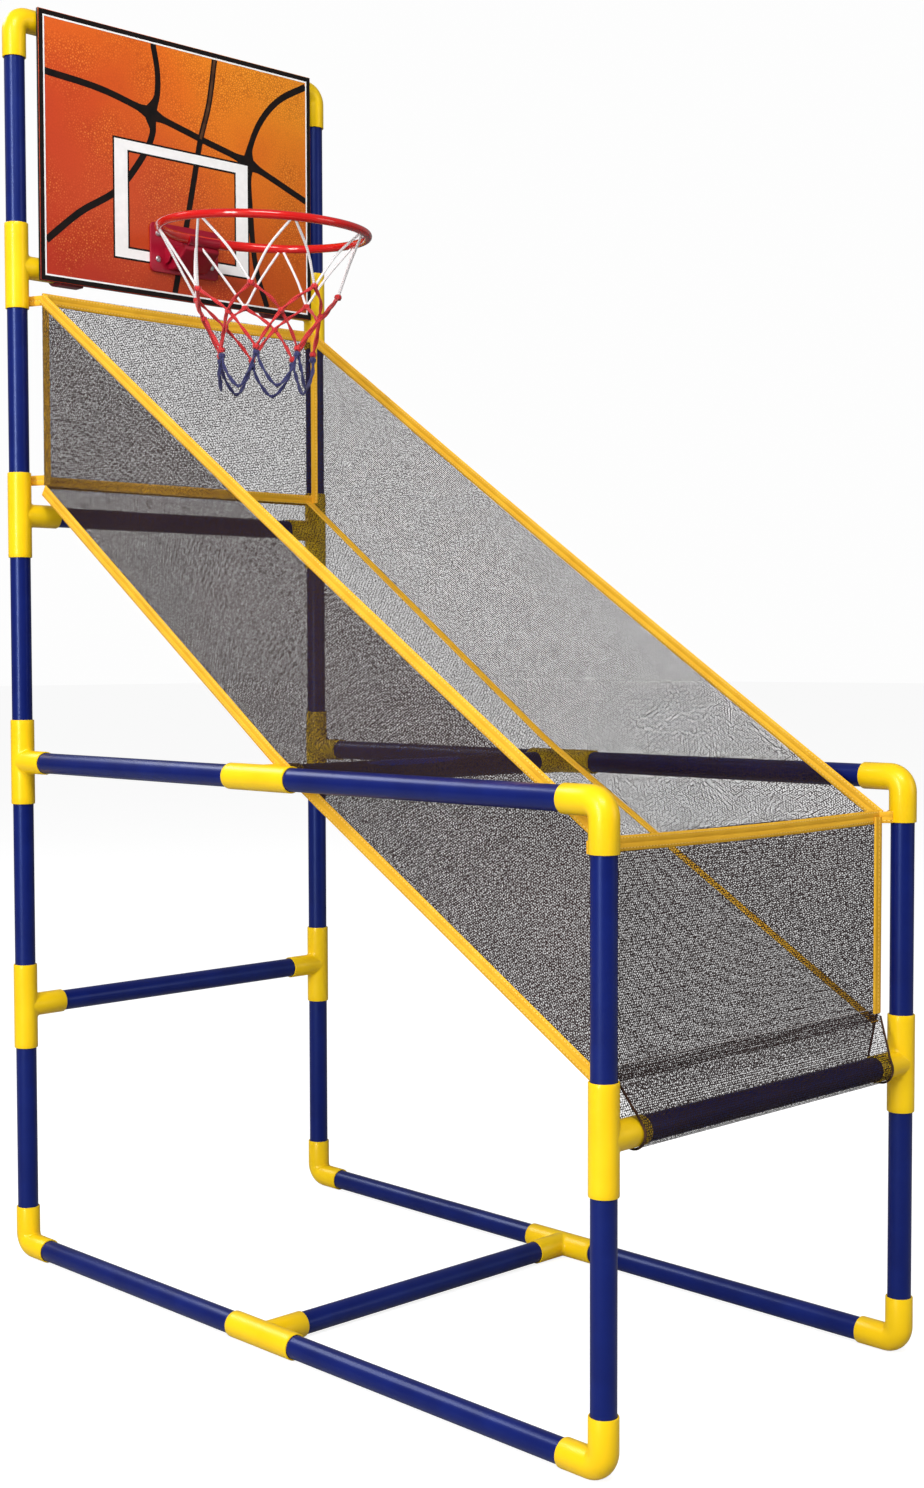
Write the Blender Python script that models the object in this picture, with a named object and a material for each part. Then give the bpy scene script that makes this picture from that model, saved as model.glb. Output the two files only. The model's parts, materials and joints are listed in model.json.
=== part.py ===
"""Basketball hoop machine: a push-fit tube frame, a printed backboard, a hoop and a mesh return bag.

Metres, +Z up. +X is the player's right, the player stands at -Y, and the origin is the middle of the
footprint on the floor. Every tube is a separate hollow tube that ends in the sockets of two connectors.
"""

import math

import bpy
from mathutils import Matrix, Vector

# --- Driving dimensions -----------------------------------------------------------------------------
TOTAL_HEIGHT = 1.420        # floor to the top of the upper elbows
HALF_WIDTH = 0.220          # frame centre plane to an upright's axis
HALF_DEPTH = 0.440          # frame centre plane to the front or rear uprights' axes

TUBE_R = 0.0115             # outer radius of a tube
TUBE_WALL = 0.0012
FIT_GAP = 0.0003            # between pieces that touch
SOCKET_WALL = 0.0015
SOCKET_DEPTH = 0.028
END_GAP = 0.0005            # tube end to the stop in its socket
STOP_R = 0.0095             # radius of the through hole past the stops

TEE_HALF = 0.048            # tee centre to a mouth of its straight run
PORT_REACH = 0.048          # tee centre to the mouth of its side port
ELBOW_ARM = 0.044           # elbow corner to a mouth
ELBOW_BEND_R = 0.0145       # bend radius of an elbow's centre line
MID_TEE_Y = 0.008           # the base and rail tees sit this far behind the middle

SIDES = 12                  # facets round a tube, with one facing each way along the axes
BEND_STEPS = 4

SOCKET_R = TUBE_R + FIT_GAP
CONNECTOR_R = SOCKET_R + SOCKET_WALL
PORT_R = CONNECTOR_R - 0.0003      # the side port is a touch slimmer than the run it grows from
PORT_STOP_R = STOP_R - 0.0003

BASE_Z = CONNECTOR_R
TOP_Z = TOTAL_HEIGHT - CONNECTOR_R
REAR_TEES = 4
SHORT_RUN = (TOP_Z - BASE_Z - 2 * ELBOW_ARM - 2 * REAR_TEES * TEE_HALF) / (REAR_TEES + 1)
LEVELS = [BASE_Z + ELBOW_ARM + (i + 1) * SHORT_RUN + (2 * i + 1) * TEE_HALF for i in range(REAR_TEES)]
LOW_Z, RAIL_Z, MID_Z, UPPER_Z = LEVELS

BOARD_WIDTH = 0.400
BOARD_THICKNESS = 0.004
BOARD_TOP = 1.4195
BOARD_BOTTOM = 1.1155
BOARD_BACK_Y = HALF_DEPTH - CONNECTOR_R - FIT_GAP - 0.0001
BOARD_FRONT_Y = BOARD_BACK_Y - BOARD_THICKNESS

RING_R = 0.119              # centre line of the rim
RIM_R = 0.0048              # rim section at the front
RIM_REAR_R = 0.0062         # rim section by the bracket
RING_Y = 0.269
RING_Z = 1.174
RING_DROOP = math.radians(3.5)
RING_SEGMENTS = 32
RIM_SIDES = 8

PLATE_WIDTH = 0.100
PLATE_TOP = 1.203
PLATE_BOTTOM = 1.145
PLATE_THICKNESS = 0.003
ARM_WIDTH = 0.050
ARM_TOP_REACH = 0.035       # how far the arm stands out under the rim
ARM_FOOT_REACH = 0.012      # and at its foot
ARM_TIP_HEIGHT = 0.006

NET_BOTTOM_Z = 0.991
NET_TOP_R = RING_R - 0.008   # the strings leave the rim on its inner side
NET_BOTTOM_R = 0.052
NET_WALL = 0.002
NET_SEGMENTS = 24
NET_STEPS = 3

PANEL = 0.0015              # thickness of a bag panel
BAG_HALF_WIDTH = 0.200      # outer face of a side panel
BAG_REAR_Y = BOARD_FRONT_Y
BAG_FRONT_Y = -0.4285
BAG_REAR_TOP = 1.100
BAG_REAR_BOTTOM = 0.884
BAG_FRONT_TOP = 0.538
BAG_FRONT_BOTTOM = 0.330
RAMP_REST_Z = 0.592         # underside of the ramp's sides as they pass the rail's cross tube
FRONT_HEM_Z = LOW_Z + CONNECTOR_R + 0.0007


# --- Materials --------------------------------------------------------------------------------------
def material(name, colour, roughness):
    made = bpy.data.materials.new(name)
    made.use_nodes = True
    shader = made.node_tree.nodes["Principled BSDF"]
    shader.inputs["Base Color"].default_value = (*colour, 1.0)
    shader.inputs["Roughness"].default_value = roughness
    shader.inputs["Metallic"].default_value = 0.0
    return made


# --- Mesh helpers -----------------------------------------------------------------------------------
def add_object(name, mesh, surface, placement=None):
    """One named node. Its mesh may be shared with its twins."""
    made = bpy.data.objects.new(name, mesh)
    bpy.context.collection.objects.link(made)
    if placement is not None:
        made.matrix_world = placement
    if not mesh.materials:
        mesh.materials.append(surface)
    return made


def mesh_from(name, points, faces, smooth=False):
    mesh = bpy.data.meshes.new(name)
    mesh.from_pydata([tuple(p) for p in points], [], faces)
    mesh.validate()
    if smooth:
        mesh.shade_smooth()
        mesh.set_sharp_from_angle(angle=math.radians(40))
    return mesh


def ring_of_points(centre, across, up, radius, sides=SIDES):
    """Points of a regular polygon whose flats, not its corners, lie at the radius."""
    corner = radius / math.cos(math.pi / sides)
    angles = [(i + 0.5) * 2 * math.pi / sides for i in range(sides)]
    return [centre + across * (corner * math.cos(a)) + up * (corner * math.sin(a)) for a in angles]


def skin(rings, closed):
    """Quads between each ring and the next. A closed skin joins the last ring to the first."""
    sides = len(rings[0])
    points = [p for ring in rings for p in ring]
    faces = []
    for r in range(len(rings) if closed else len(rings) - 1):
        here = r * sides
        there = ((r + 1) % len(rings)) * sides
        for i in range(sides):
            j = (i + 1) % sides
            faces.append((here + i, here + j, there + j, there + i))
    return points, faces


def capped(rings):
    """A solid through the rings, with a flat cap at each end."""
    sides = len(rings[0])
    points, faces = skin(rings, closed=False)
    last = (len(rings) - 1) * sides
    faces.append(tuple(reversed(range(sides))))
    faces.append(tuple(last + i for i in range(sides)))
    return points, faces


def prism(name, outline, low, high, axis):
    """A closed prism: the outline lies in the other two axes, and runs from low to high along axis."""
    count = len(outline)
    points = []
    for level in (low, high):
        for a, b in outline:
            place = [a, b]
            place.insert(axis, level)
            points.append(place)
    faces = [tuple(reversed(range(count))), tuple(count + i for i in range(count))]
    for i in range(count):
        j = (i + 1) % count
        faces.append((i, j, count + j, count + i))
    mesh = mesh_from(name, points, faces)
    face_outwards(mesh)
    return mesh


def face_outwards(mesh):
    """Flip every face when the closed mesh has a negative volume."""
    volume = 0.0
    for face in mesh.polygons:
        corners = [mesh.vertices[i].co for i in face.vertices]
        for b, c in zip(corners[1:], corners[2:]):
            volume += corners[0].dot(b.cross(c))
    if volume < 0:
        mesh.flip_normals()


def box_mesh(name, low, high):
    outline = [(low[0], low[1]), (high[0], low[1]), (high[0], high[1]), (low[0], high[1])]
    return prism(name, outline, low[2], high[2], 2)


# --- Tubes ------------------------------------------------------------------------------------------
def tube_mesh(name, length):
    """A hollow tube along +Z from its origin, open at both ends."""
    x, y = Vector((1, 0, 0)), Vector((0, 1, 0))
    foot, head = Vector((0, 0, 0)), Vector((0, 0, length))
    inner = TUBE_R - TUBE_WALL
    rings = [
        ring_of_points(foot, x, y, TUBE_R),
        ring_of_points(head, x, y, TUBE_R),
        ring_of_points(head, x, y, inner),
        ring_of_points(foot, x, y, inner),
    ]
    mesh = mesh_from(name, *skin(rings, closed=True), smooth=True)
    face_outwards(mesh)
    return mesh


def add_tube(name, start_mouth, end_mouth, surface):
    """A tube between two socket mouths, pushed into both as far as their stops."""
    start, end = Vector(start_mouth), Vector(end_mouth)
    along = (end - start).normalized()
    buried = SOCKET_DEPTH - END_GAP
    length = (end - start).length + 2 * buried
    turn = along.to_track_quat("Z", "Y").to_matrix().to_4x4()
    placement = Matrix.Translation(start - along * buried) @ turn
    return add_object(name, tube_mesh(name, length), surface, placement)


# --- Connectors -------------------------------------------------------------------------------------
def solid_of_revolution(name, stations):
    """A closed turned solid along +Z through (height, radius) stations."""
    x, y = Vector((1, 0, 0)), Vector((0, 1, 0))
    rings = [ring_of_points(Vector((0, 0, z)), x, y, r) for z, r in stations]
    mesh = mesh_from(name, *capped(rings))
    face_outwards(mesh)
    return mesh


def helper(name, mesh, turn=None):
    """A solid that only shapes another one."""
    made = bpy.data.objects.new(name, mesh)
    bpy.context.collection.objects.link(made)
    made.hide_render = True
    made.display_type = "WIRE"
    if turn is not None:
        made.matrix_world = turn
    return made


def tee_mesh():
    """Straight run along Z, side port along +X, three sockets with a stop in each."""
    over = 0.002
    stop = TEE_HALF - SOCKET_DEPTH
    port_stop = PORT_REACH - SOCKET_DEPTH
    along_x = Matrix.Rotation(math.pi / 2, 4, "Y")
    body = helper("tee_body", solid_of_revolution("tee_body", [
        (-TEE_HALF, CONNECTOR_R), (TEE_HALF, CONNECTOR_R)]))
    port = helper("tee_port", solid_of_revolution("tee_port", [
        (0.0, PORT_R), (PORT_REACH, PORT_R)]), along_x)
    run_bore = helper("tee_run_bore", solid_of_revolution("tee_run_bore", [
        (-TEE_HALF - over, SOCKET_R), (-stop, SOCKET_R), (-stop, STOP_R),
        (stop, STOP_R), (stop, SOCKET_R), (TEE_HALF + over, SOCKET_R)]))
    port_bore = helper("tee_port_bore", solid_of_revolution("tee_port_bore", [
        (0.0, PORT_STOP_R), (port_stop, PORT_STOP_R),
        (port_stop, SOCKET_R), (PORT_REACH + over, SOCKET_R)]), along_x)
    bpy.context.view_layer.update()
    for tool, operation in ((port, "UNION"), (run_bore, "DIFFERENCE"), (port_bore, "DIFFERENCE")):
        cut = body.modifiers.new(tool.name, "BOOLEAN")
        cut.object = tool
        cut.operation = operation
        cut.solver = "EXACT"
    shaped = body.evaluated_get(bpy.context.evaluated_depsgraph_get())
    mesh = bpy.data.meshes.new_from_object(shaped)
    mesh.name = "tee"
    mesh.shade_smooth()
    mesh.set_sharp_from_angle(angle=math.radians(40))
    for tool in (body, port, run_bore, port_bore):
        bpy.data.objects.remove(tool)
    return mesh


def elbow_path():
    """Centre line of an elbow from the mouth on +X round to the mouth on +Z, corner at the origin."""
    bend_centre = Vector((ELBOW_BEND_R, 0, ELBOW_BEND_R))
    path = []
    for i in range(BEND_STEPS + 1):
        angle = i * (math.pi / 2) / BEND_STEPS
        outward = Vector((-math.sin(angle), 0, -math.cos(angle)))
        path.append((bend_centre + outward * ELBOW_BEND_R, -outward))
    return path


def elbow_mesh():
    """Two sockets at a right angle, one on +X and one on +Z, with a rounded outer corner."""
    across = Vector((0, 1, 0))
    x, z = Vector((1, 0, 0)), Vector((0, 0, 1))
    stop = ELBOW_ARM - SOCKET_DEPTH

    def station(distance, arm, up, radius):
        return ring_of_points(arm * distance, across, up, radius)

    bend = elbow_path()
    outer = [station(ELBOW_ARM, x, z, CONNECTOR_R)]
    outer += [ring_of_points(p, across, up, CONNECTOR_R) for p, up in bend]
    outer += [station(ELBOW_ARM, z, x, CONNECTOR_R)]
    inner = [station(ELBOW_ARM, z, x, SOCKET_R), station(stop, z, x, SOCKET_R), station(stop, z, x, STOP_R)]
    inner += [ring_of_points(p, across, up, STOP_R) for p, up in reversed(bend)]
    inner += [station(stop, x, z, STOP_R), station(stop, x, z, SOCKET_R), station(ELBOW_ARM, x, z, SOCKET_R)]
    mesh = mesh_from("elbow", *skin(outer + inner, closed=True), smooth=True)
    face_outwards(mesh)
    return mesh


def placement(corner, x_to, z_to):
    """Put a connector's +X arm and +Z arm along the given directions, its corner at the point."""
    x_axis, z_axis = Vector(x_to), Vector(z_to)
    y_axis = z_axis.cross(x_axis)
    turn = Matrix((x_axis, y_axis, z_axis)).transposed().to_4x4()
    return Matrix.Translation(Vector(corner)) @ turn


UP, DOWN = (0, 0, 1), (0, 0, -1)
FRONT, REAR = (0, -1, 0), (0, 1, 0)


def mouth(corner, direction, reach):
    return Vector(corner) + Vector(direction) * reach


def build_side(name, side, tee, elbow, blue, yellow):
    """One side of the frame: base rail, rear upright, front leg and upper rail. side is -1 or +1."""
    x = side * HALF_WIDTH
    inward = (-side, 0, 0)
    rear_foot, rear_head = (x, HALF_DEPTH, BASE_Z), (x, HALF_DEPTH, TOP_Z)
    front_foot, front_head = (x, -HALF_DEPTH, BASE_Z), (x, -HALF_DEPTH, RAIL_Z)
    base_tee, rail_tee = (x, MID_TEE_Y, BASE_Z), (x, MID_TEE_Y, RAIL_Z)
    front_tee = (x, -HALF_DEPTH, LOW_Z)
    rear_tees = [(x, HALF_DEPTH, z) for z in LEVELS]

    def tube(part, start, start_reach, end, end_reach):
        along = (Vector(end) - Vector(start)).normalized()
        add_tube(f"{name}_{part}", mouth(start, along, start_reach), mouth(end, -along, end_reach), blue)

    def connector(part, mesh, corner, x_to, z_to):
        add_object(f"{name}_{part}", mesh, yellow, placement(corner, x_to, z_to))

    connector("rear_foot_elbow", elbow, rear_foot, FRONT, UP)
    connector("rear_top_elbow", elbow, rear_head, inward, DOWN)
    connector("front_foot_elbow", elbow, front_foot, REAR, UP)
    connector("front_top_elbow", elbow, front_head, REAR, DOWN)
    for i, corner in enumerate(rear_tees):
        port = FRONT if corner[2] == RAIL_Z else inward
        connector(f"rear_tee_{i + 1}", tee, corner, port, UP)
    connector("front_tee", tee, front_tee, inward, UP)
    connector("base_tee", tee, base_tee, inward, FRONT)
    connector("rail_tee", tee, rail_tee, inward, FRONT)

    stops = [(rear_foot, ELBOW_ARM)] + [(c, TEE_HALF) for c in rear_tees] + [(rear_head, ELBOW_ARM)]
    for i, (low, high) in enumerate(zip(stops, stops[1:])):
        tube(f"upright_tube_{i + 1}", *low, *high)
    tube("leg_tube_1", front_foot, ELBOW_ARM, front_tee, TEE_HALF)
    tube("leg_tube_2", front_tee, TEE_HALF, front_head, ELBOW_ARM)
    tube("base_tube_front", front_foot, ELBOW_ARM, base_tee, TEE_HALF)
    tube("base_tube_rear", base_tee, TEE_HALF, rear_foot, ELBOW_ARM)
    tube("rail_tube_front", front_head, ELBOW_ARM, rail_tee, TEE_HALF)
    tube("rail_tube_rear", rail_tee, TEE_HALF, rear_tees[1], PORT_REACH)


def build_cross_tubes(blue):
    """The tubes that tie the left side to the right side."""
    spans = {
        "base_cross_tube": (MID_TEE_Y, BASE_Z, PORT_REACH),
        "front_cross_tube": (-HALF_DEPTH, LOW_Z, PORT_REACH),
        "rail_cross_tube": (MID_TEE_Y, RAIL_Z, PORT_REACH),
        "rear_low_cross_tube": (HALF_DEPTH, LOW_Z, PORT_REACH),
        "rear_mid_cross_tube": (HALF_DEPTH, MID_Z, PORT_REACH),
        "rear_upper_cross_tube": (HALF_DEPTH, UPPER_Z, PORT_REACH),
        "rear_top_cross_tube": (HALF_DEPTH, TOP_Z, ELBOW_ARM),
    }
    for name, (y, z, reach) in spans.items():
        end = HALF_WIDTH - reach
        add_tube(name, (-end, y, z), (end, y, z), blue)


# --- Board, hoop and net ----------------------------------------------------------------------------
def build_backboard(surface):
    half = BOARD_WIDTH / 2
    low = (-half, BOARD_FRONT_Y, BOARD_BOTTOM)
    high = (half, BOARD_BACK_Y, BOARD_TOP)
    add_object("backboard", box_mesh("backboard", low, high), surface)


def rim_point(angle):
    """Centre line of the rim: angle 0 at +X, a quarter turn at the rear. The front droops a little."""
    back = RING_R * math.sin(angle)
    return Vector((RING_R * math.cos(angle), RING_Y + back * math.cos(RING_DROOP),
                   RING_Z + back * math.sin(RING_DROOP)))


def build_ring(surface):
    centre = Vector((0, RING_Y, RING_Z))
    normal = Vector((0, -math.sin(RING_DROOP), math.cos(RING_DROOP)))
    rings = []
    for i in range(RING_SEGMENTS):
        angle = i * 2 * math.pi / RING_SEGMENTS
        point = rim_point(angle)
        outward = (point - centre).normalized()
        rearness = max(0.0, math.sin(angle)) ** 4
        radius = RIM_R + (RIM_REAR_R - RIM_R) * rearness
        rings.append(ring_of_points(point, outward, normal, radius, RIM_SIDES))
    mesh = mesh_from("ring", *skin(rings, closed=True), smooth=True)
    face_outwards(mesh)
    add_object("ring", mesh, surface)


def build_bracket(surface):
    """A plate on the board with a wedge-shaped arm that carries the rim from below."""
    plate_back = BOARD_FRONT_Y - FIT_GAP
    plate_front = plate_back - PLATE_THICKNESS
    arm_top = rim_point(math.pi / 2).z - RIM_REAR_R / math.cos(math.pi / RIM_SIDES) - 0.0008
    overlap = PLATE_THICKNESS / 2
    plate = add_object("ring_bracket", box_mesh(
        "ring_bracket", (-PLATE_WIDTH / 2, plate_front, PLATE_BOTTOM),
        (PLATE_WIDTH / 2, plate_back, PLATE_TOP)), surface)
    outline = [
        (plate_front + overlap, PLATE_BOTTOM + 0.004),
        (plate_front - ARM_FOOT_REACH, PLATE_BOTTOM + 0.004),
        (plate_front - ARM_TOP_REACH, arm_top - ARM_TIP_HEIGHT),
        (plate_front - ARM_TOP_REACH, arm_top),
        (plate_front + overlap, arm_top),
    ]
    arm = helper("arm", prism("arm", outline, -ARM_WIDTH / 2, ARM_WIDTH / 2, 0))
    joined = plate.modifiers.new("arm", "BOOLEAN")
    joined.object = arm
    joined.operation = "UNION"
    joined.solver = "EXACT"


def build_hoop_net(surface):
    """The net as an open tapered sleeve that hangs under the rim."""
    top = RING_Z - RIM_REAR_R / math.cos(math.pi / RIM_SIDES) - 0.0005
    x, y = Vector((1, 0, 0)), Vector((0, 1, 0))
    outer, inner = [], []
    for i in range(NET_STEPS + 1):
        part = i / NET_STEPS
        narrowing = NET_TOP_R - (NET_TOP_R - NET_BOTTOM_R) * math.sin(part * math.pi / 2) ** 0.9
        flat_top = top + (NET_BOTTOM_Z - top) * part
        for rings, radius in ((outer, narrowing), (inner, narrowing - NET_WALL)):
            ring = ring_of_points(Vector((0, RING_Y, flat_top)), x, y, radius, NET_SEGMENTS)
            if i == 0:
                ring = [p + Vector((0, 0, (p.y - RING_Y) * math.tan(RING_DROOP))) for p in ring]
            rings.append(ring)
    mesh = mesh_from("hoop_net", *skin(outer + inner[::-1], closed=True), smooth=True)
    face_outwards(mesh)
    add_object("hoop_net", mesh, surface)


# --- Return bag -------------------------------------------------------------------------------------
def ramp_line(lift):
    """The ramp's underside in YZ from rear to front, raised by lift."""
    return [(BAG_REAR_Y, BAG_REAR_BOTTOM + lift), (MID_TEE_Y, RAMP_REST_Z + lift),
            (BAG_FRONT_Y, BAG_FRONT_BOTTOM + lift)]


def build_bag(surface):
    """Five flat panels: two sides, the back, the sloping floor and the front, open at the top."""
    inner_half = BAG_HALF_WIDTH - PANEL - FIT_GAP
    side_outline = ramp_line(0.0) + [(BAG_FRONT_Y, BAG_FRONT_TOP), (BAG_REAR_Y, BAG_REAR_TOP)]
    for name, side in (("bag_left", -1), ("bag_right", 1)):
        faces = sorted((side * BAG_HALF_WIDTH, side * (BAG_HALF_WIDTH - PANEL)))
        add_object(name, prism(name, side_outline, *faces, 0), surface)

    floor_ends = ramp_line(0.0)
    clear = PANEL + FIT_GAP
    rear_end = (BAG_REAR_Y - clear, floor_ends[0][1] - clear * (BAG_REAR_BOTTOM - RAMP_REST_Z)
                / (BAG_REAR_Y - MID_TEE_Y))
    front_end = (BAG_FRONT_Y + clear, floor_ends[2][1] + clear * (RAMP_REST_Z - BAG_FRONT_BOTTOM)
                 / (MID_TEE_Y - BAG_FRONT_Y))
    under = [rear_end, floor_ends[1], front_end]
    over = [(y, z + PANEL * 1.2) for y, z in reversed(under)]
    floor = prism("bag_floor", under + over, -inner_half, inner_half, 0)
    add_object("bag_floor", floor, surface)

    back = box_mesh("bag_back", (-inner_half, BAG_REAR_Y - PANEL, BAG_REAR_BOTTOM),
                    (inner_half, BAG_REAR_Y, BAG_REAR_TOP))
    add_object("bag_back", back, surface)
    hem_half = HALF_WIDTH - PORT_REACH - FIT_GAP
    outline = [(-hem_half, FRONT_HEM_Z), (hem_half, FRONT_HEM_Z), (inner_half, BAG_FRONT_BOTTOM),
               (inner_half, BAG_FRONT_TOP), (-inner_half, BAG_FRONT_TOP), (-inner_half, BAG_FRONT_BOTTOM)]
    front = prism("bag_front", outline, BAG_FRONT_Y, BAG_FRONT_Y + PANEL, 1)
    add_object("bag_front", front, surface)


def main():
    for old in list(bpy.data.objects):
        bpy.data.objects.remove(old)
    blue = material("tube_blue", (0.004, 0.012, 0.17), 0.32)
    yellow = material("connector_yellow", (0.95, 0.62, 0.01), 0.35)
    print_orange = material("backboard_print", (0.62, 0.12, 0.03), 0.4)
    red = material("hoop_red", (0.55, 0.005, 0.01), 0.3)
    crimson = material("bracket_crimson", (0.35, 0.003, 0.02), 0.4)
    string = material("net_string", (0.75, 0.72, 0.72), 0.8)
    mesh_grey = material("bag_mesh", (0.05, 0.045, 0.05), 0.85)

    tee, elbow = tee_mesh(), elbow_mesh()
    for name, side in (("left", -1), ("right", 1)):
        build_side(name, side, tee, elbow, blue, yellow)
    build_cross_tubes(blue)
    build_backboard(print_orange)
    build_ring(red)
    build_bracket(crimson)
    build_hoop_net(string)
    build_bag(mesh_grey)


main()
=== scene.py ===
"""The looks of the basketball hoop machine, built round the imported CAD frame.

Metres, +Z up. +X is the player's right, and the player stands at -Y. Every place is worked out from the
boxes of the CAD nodes; the constants below are the small sizes that the CAD solids don't hold.
"""

import json
import math

import bmesh
import bpy
from mathutils import Matrix, Vector, noise
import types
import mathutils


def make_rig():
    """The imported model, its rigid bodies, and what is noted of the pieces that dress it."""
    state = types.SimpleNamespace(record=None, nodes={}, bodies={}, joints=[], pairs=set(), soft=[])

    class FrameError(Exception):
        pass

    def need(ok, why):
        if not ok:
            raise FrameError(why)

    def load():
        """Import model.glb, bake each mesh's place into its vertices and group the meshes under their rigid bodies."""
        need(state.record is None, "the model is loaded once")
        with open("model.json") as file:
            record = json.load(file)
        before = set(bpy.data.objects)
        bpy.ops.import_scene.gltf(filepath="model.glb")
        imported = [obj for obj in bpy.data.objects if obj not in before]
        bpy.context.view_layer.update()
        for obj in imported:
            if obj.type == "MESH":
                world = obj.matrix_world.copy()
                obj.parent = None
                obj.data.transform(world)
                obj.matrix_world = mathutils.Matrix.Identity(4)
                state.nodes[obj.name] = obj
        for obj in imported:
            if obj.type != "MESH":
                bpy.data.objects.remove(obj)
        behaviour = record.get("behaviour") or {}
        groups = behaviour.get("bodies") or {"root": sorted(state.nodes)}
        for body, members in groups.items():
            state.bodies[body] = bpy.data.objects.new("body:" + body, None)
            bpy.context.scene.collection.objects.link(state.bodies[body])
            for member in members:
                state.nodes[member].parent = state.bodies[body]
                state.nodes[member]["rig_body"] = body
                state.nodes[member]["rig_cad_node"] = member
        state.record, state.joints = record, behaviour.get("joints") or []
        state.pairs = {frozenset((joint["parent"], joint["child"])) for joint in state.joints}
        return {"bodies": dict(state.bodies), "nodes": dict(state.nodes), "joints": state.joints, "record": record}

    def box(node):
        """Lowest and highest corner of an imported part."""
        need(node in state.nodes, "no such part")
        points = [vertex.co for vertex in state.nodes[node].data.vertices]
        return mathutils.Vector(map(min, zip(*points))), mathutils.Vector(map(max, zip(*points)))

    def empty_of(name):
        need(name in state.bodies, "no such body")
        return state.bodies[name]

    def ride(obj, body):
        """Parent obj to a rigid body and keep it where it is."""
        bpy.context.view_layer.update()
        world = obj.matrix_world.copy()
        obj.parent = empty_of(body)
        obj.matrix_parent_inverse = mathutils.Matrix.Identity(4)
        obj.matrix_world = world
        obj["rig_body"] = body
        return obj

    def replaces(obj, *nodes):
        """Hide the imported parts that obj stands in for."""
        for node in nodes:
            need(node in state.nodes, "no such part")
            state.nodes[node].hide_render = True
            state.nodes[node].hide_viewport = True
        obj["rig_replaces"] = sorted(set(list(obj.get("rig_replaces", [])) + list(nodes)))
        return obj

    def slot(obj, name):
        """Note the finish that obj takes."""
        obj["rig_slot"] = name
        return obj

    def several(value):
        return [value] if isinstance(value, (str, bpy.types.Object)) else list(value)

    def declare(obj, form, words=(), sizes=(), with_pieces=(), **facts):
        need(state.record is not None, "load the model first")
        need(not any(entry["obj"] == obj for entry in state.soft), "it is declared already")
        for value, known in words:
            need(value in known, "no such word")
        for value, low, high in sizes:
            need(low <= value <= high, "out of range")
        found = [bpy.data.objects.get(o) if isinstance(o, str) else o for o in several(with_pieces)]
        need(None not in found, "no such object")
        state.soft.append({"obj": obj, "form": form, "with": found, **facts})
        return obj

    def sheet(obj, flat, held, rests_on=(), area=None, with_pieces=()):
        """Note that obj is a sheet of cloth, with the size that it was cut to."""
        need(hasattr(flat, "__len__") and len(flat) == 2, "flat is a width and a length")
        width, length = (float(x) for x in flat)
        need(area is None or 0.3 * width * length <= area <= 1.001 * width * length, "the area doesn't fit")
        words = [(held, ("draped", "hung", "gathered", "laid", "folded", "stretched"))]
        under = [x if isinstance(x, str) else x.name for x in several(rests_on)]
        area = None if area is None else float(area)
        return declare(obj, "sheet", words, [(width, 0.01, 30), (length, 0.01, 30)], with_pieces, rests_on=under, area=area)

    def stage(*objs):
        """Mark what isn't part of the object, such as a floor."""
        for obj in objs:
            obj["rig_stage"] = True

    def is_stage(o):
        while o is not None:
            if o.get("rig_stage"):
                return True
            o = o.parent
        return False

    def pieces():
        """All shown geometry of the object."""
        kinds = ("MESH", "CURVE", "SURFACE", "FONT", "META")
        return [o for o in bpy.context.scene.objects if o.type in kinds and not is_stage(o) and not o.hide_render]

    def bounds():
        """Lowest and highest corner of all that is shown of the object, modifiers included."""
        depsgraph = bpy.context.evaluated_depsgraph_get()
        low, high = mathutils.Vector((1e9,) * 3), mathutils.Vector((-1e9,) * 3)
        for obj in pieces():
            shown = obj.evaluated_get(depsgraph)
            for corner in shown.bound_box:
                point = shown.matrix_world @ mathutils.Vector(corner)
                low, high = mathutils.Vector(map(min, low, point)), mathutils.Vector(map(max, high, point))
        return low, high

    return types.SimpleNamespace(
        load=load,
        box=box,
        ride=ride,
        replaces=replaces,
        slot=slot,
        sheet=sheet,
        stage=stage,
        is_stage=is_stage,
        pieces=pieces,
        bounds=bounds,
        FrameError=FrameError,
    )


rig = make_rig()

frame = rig.load()
CAD_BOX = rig.bounds()

X, Y, Z = Vector((1, 0, 0)), Vector((0, 1, 0)), Vector((0, 0, 1))

# --- Small sizes, in metres ---------------------------------------------------------------------------
ROUND_SIDES = 48            # facets round a tube
MOUTH_ROUND = 0.0007        # rounding of a connector's mouth
TUBE_WALL = 0.0012
SOCKET_R = 0.0118
SOCKET_DEPTH = 0.028
STOP_R = 0.0095
ELBOW_BEND_R = 0.0145
TEE_FILLET = 0.0045
TEE_FILLET_SIDE = 0.0002

PRINT_LIFT = 0.00008        # each layer of ink stands this far off the one below
BORDER_WIDTH = 0.0062
LINE_WIDTH = 0.0019
SEAM_WIDTH = 0.0080
JOINT_SWELL, JOINT_REACH = 1.15, 0.0125         # the seams swell where two of them join
TARGET_HALF = 0.0985
TARGET_TOP, TARGET_BOTTOM = 0.0250, -0.1115     # from the board's middle
TARGET_SIDE_BAR, TARGET_FLAT_BAR = 0.0185, 0.0112
TARGET_OUTLINE = 0.0022

NET_LOOPS = 7
NET_FIRST_ANGLE = math.radians(41)
STRING_R = 0.00135

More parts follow.
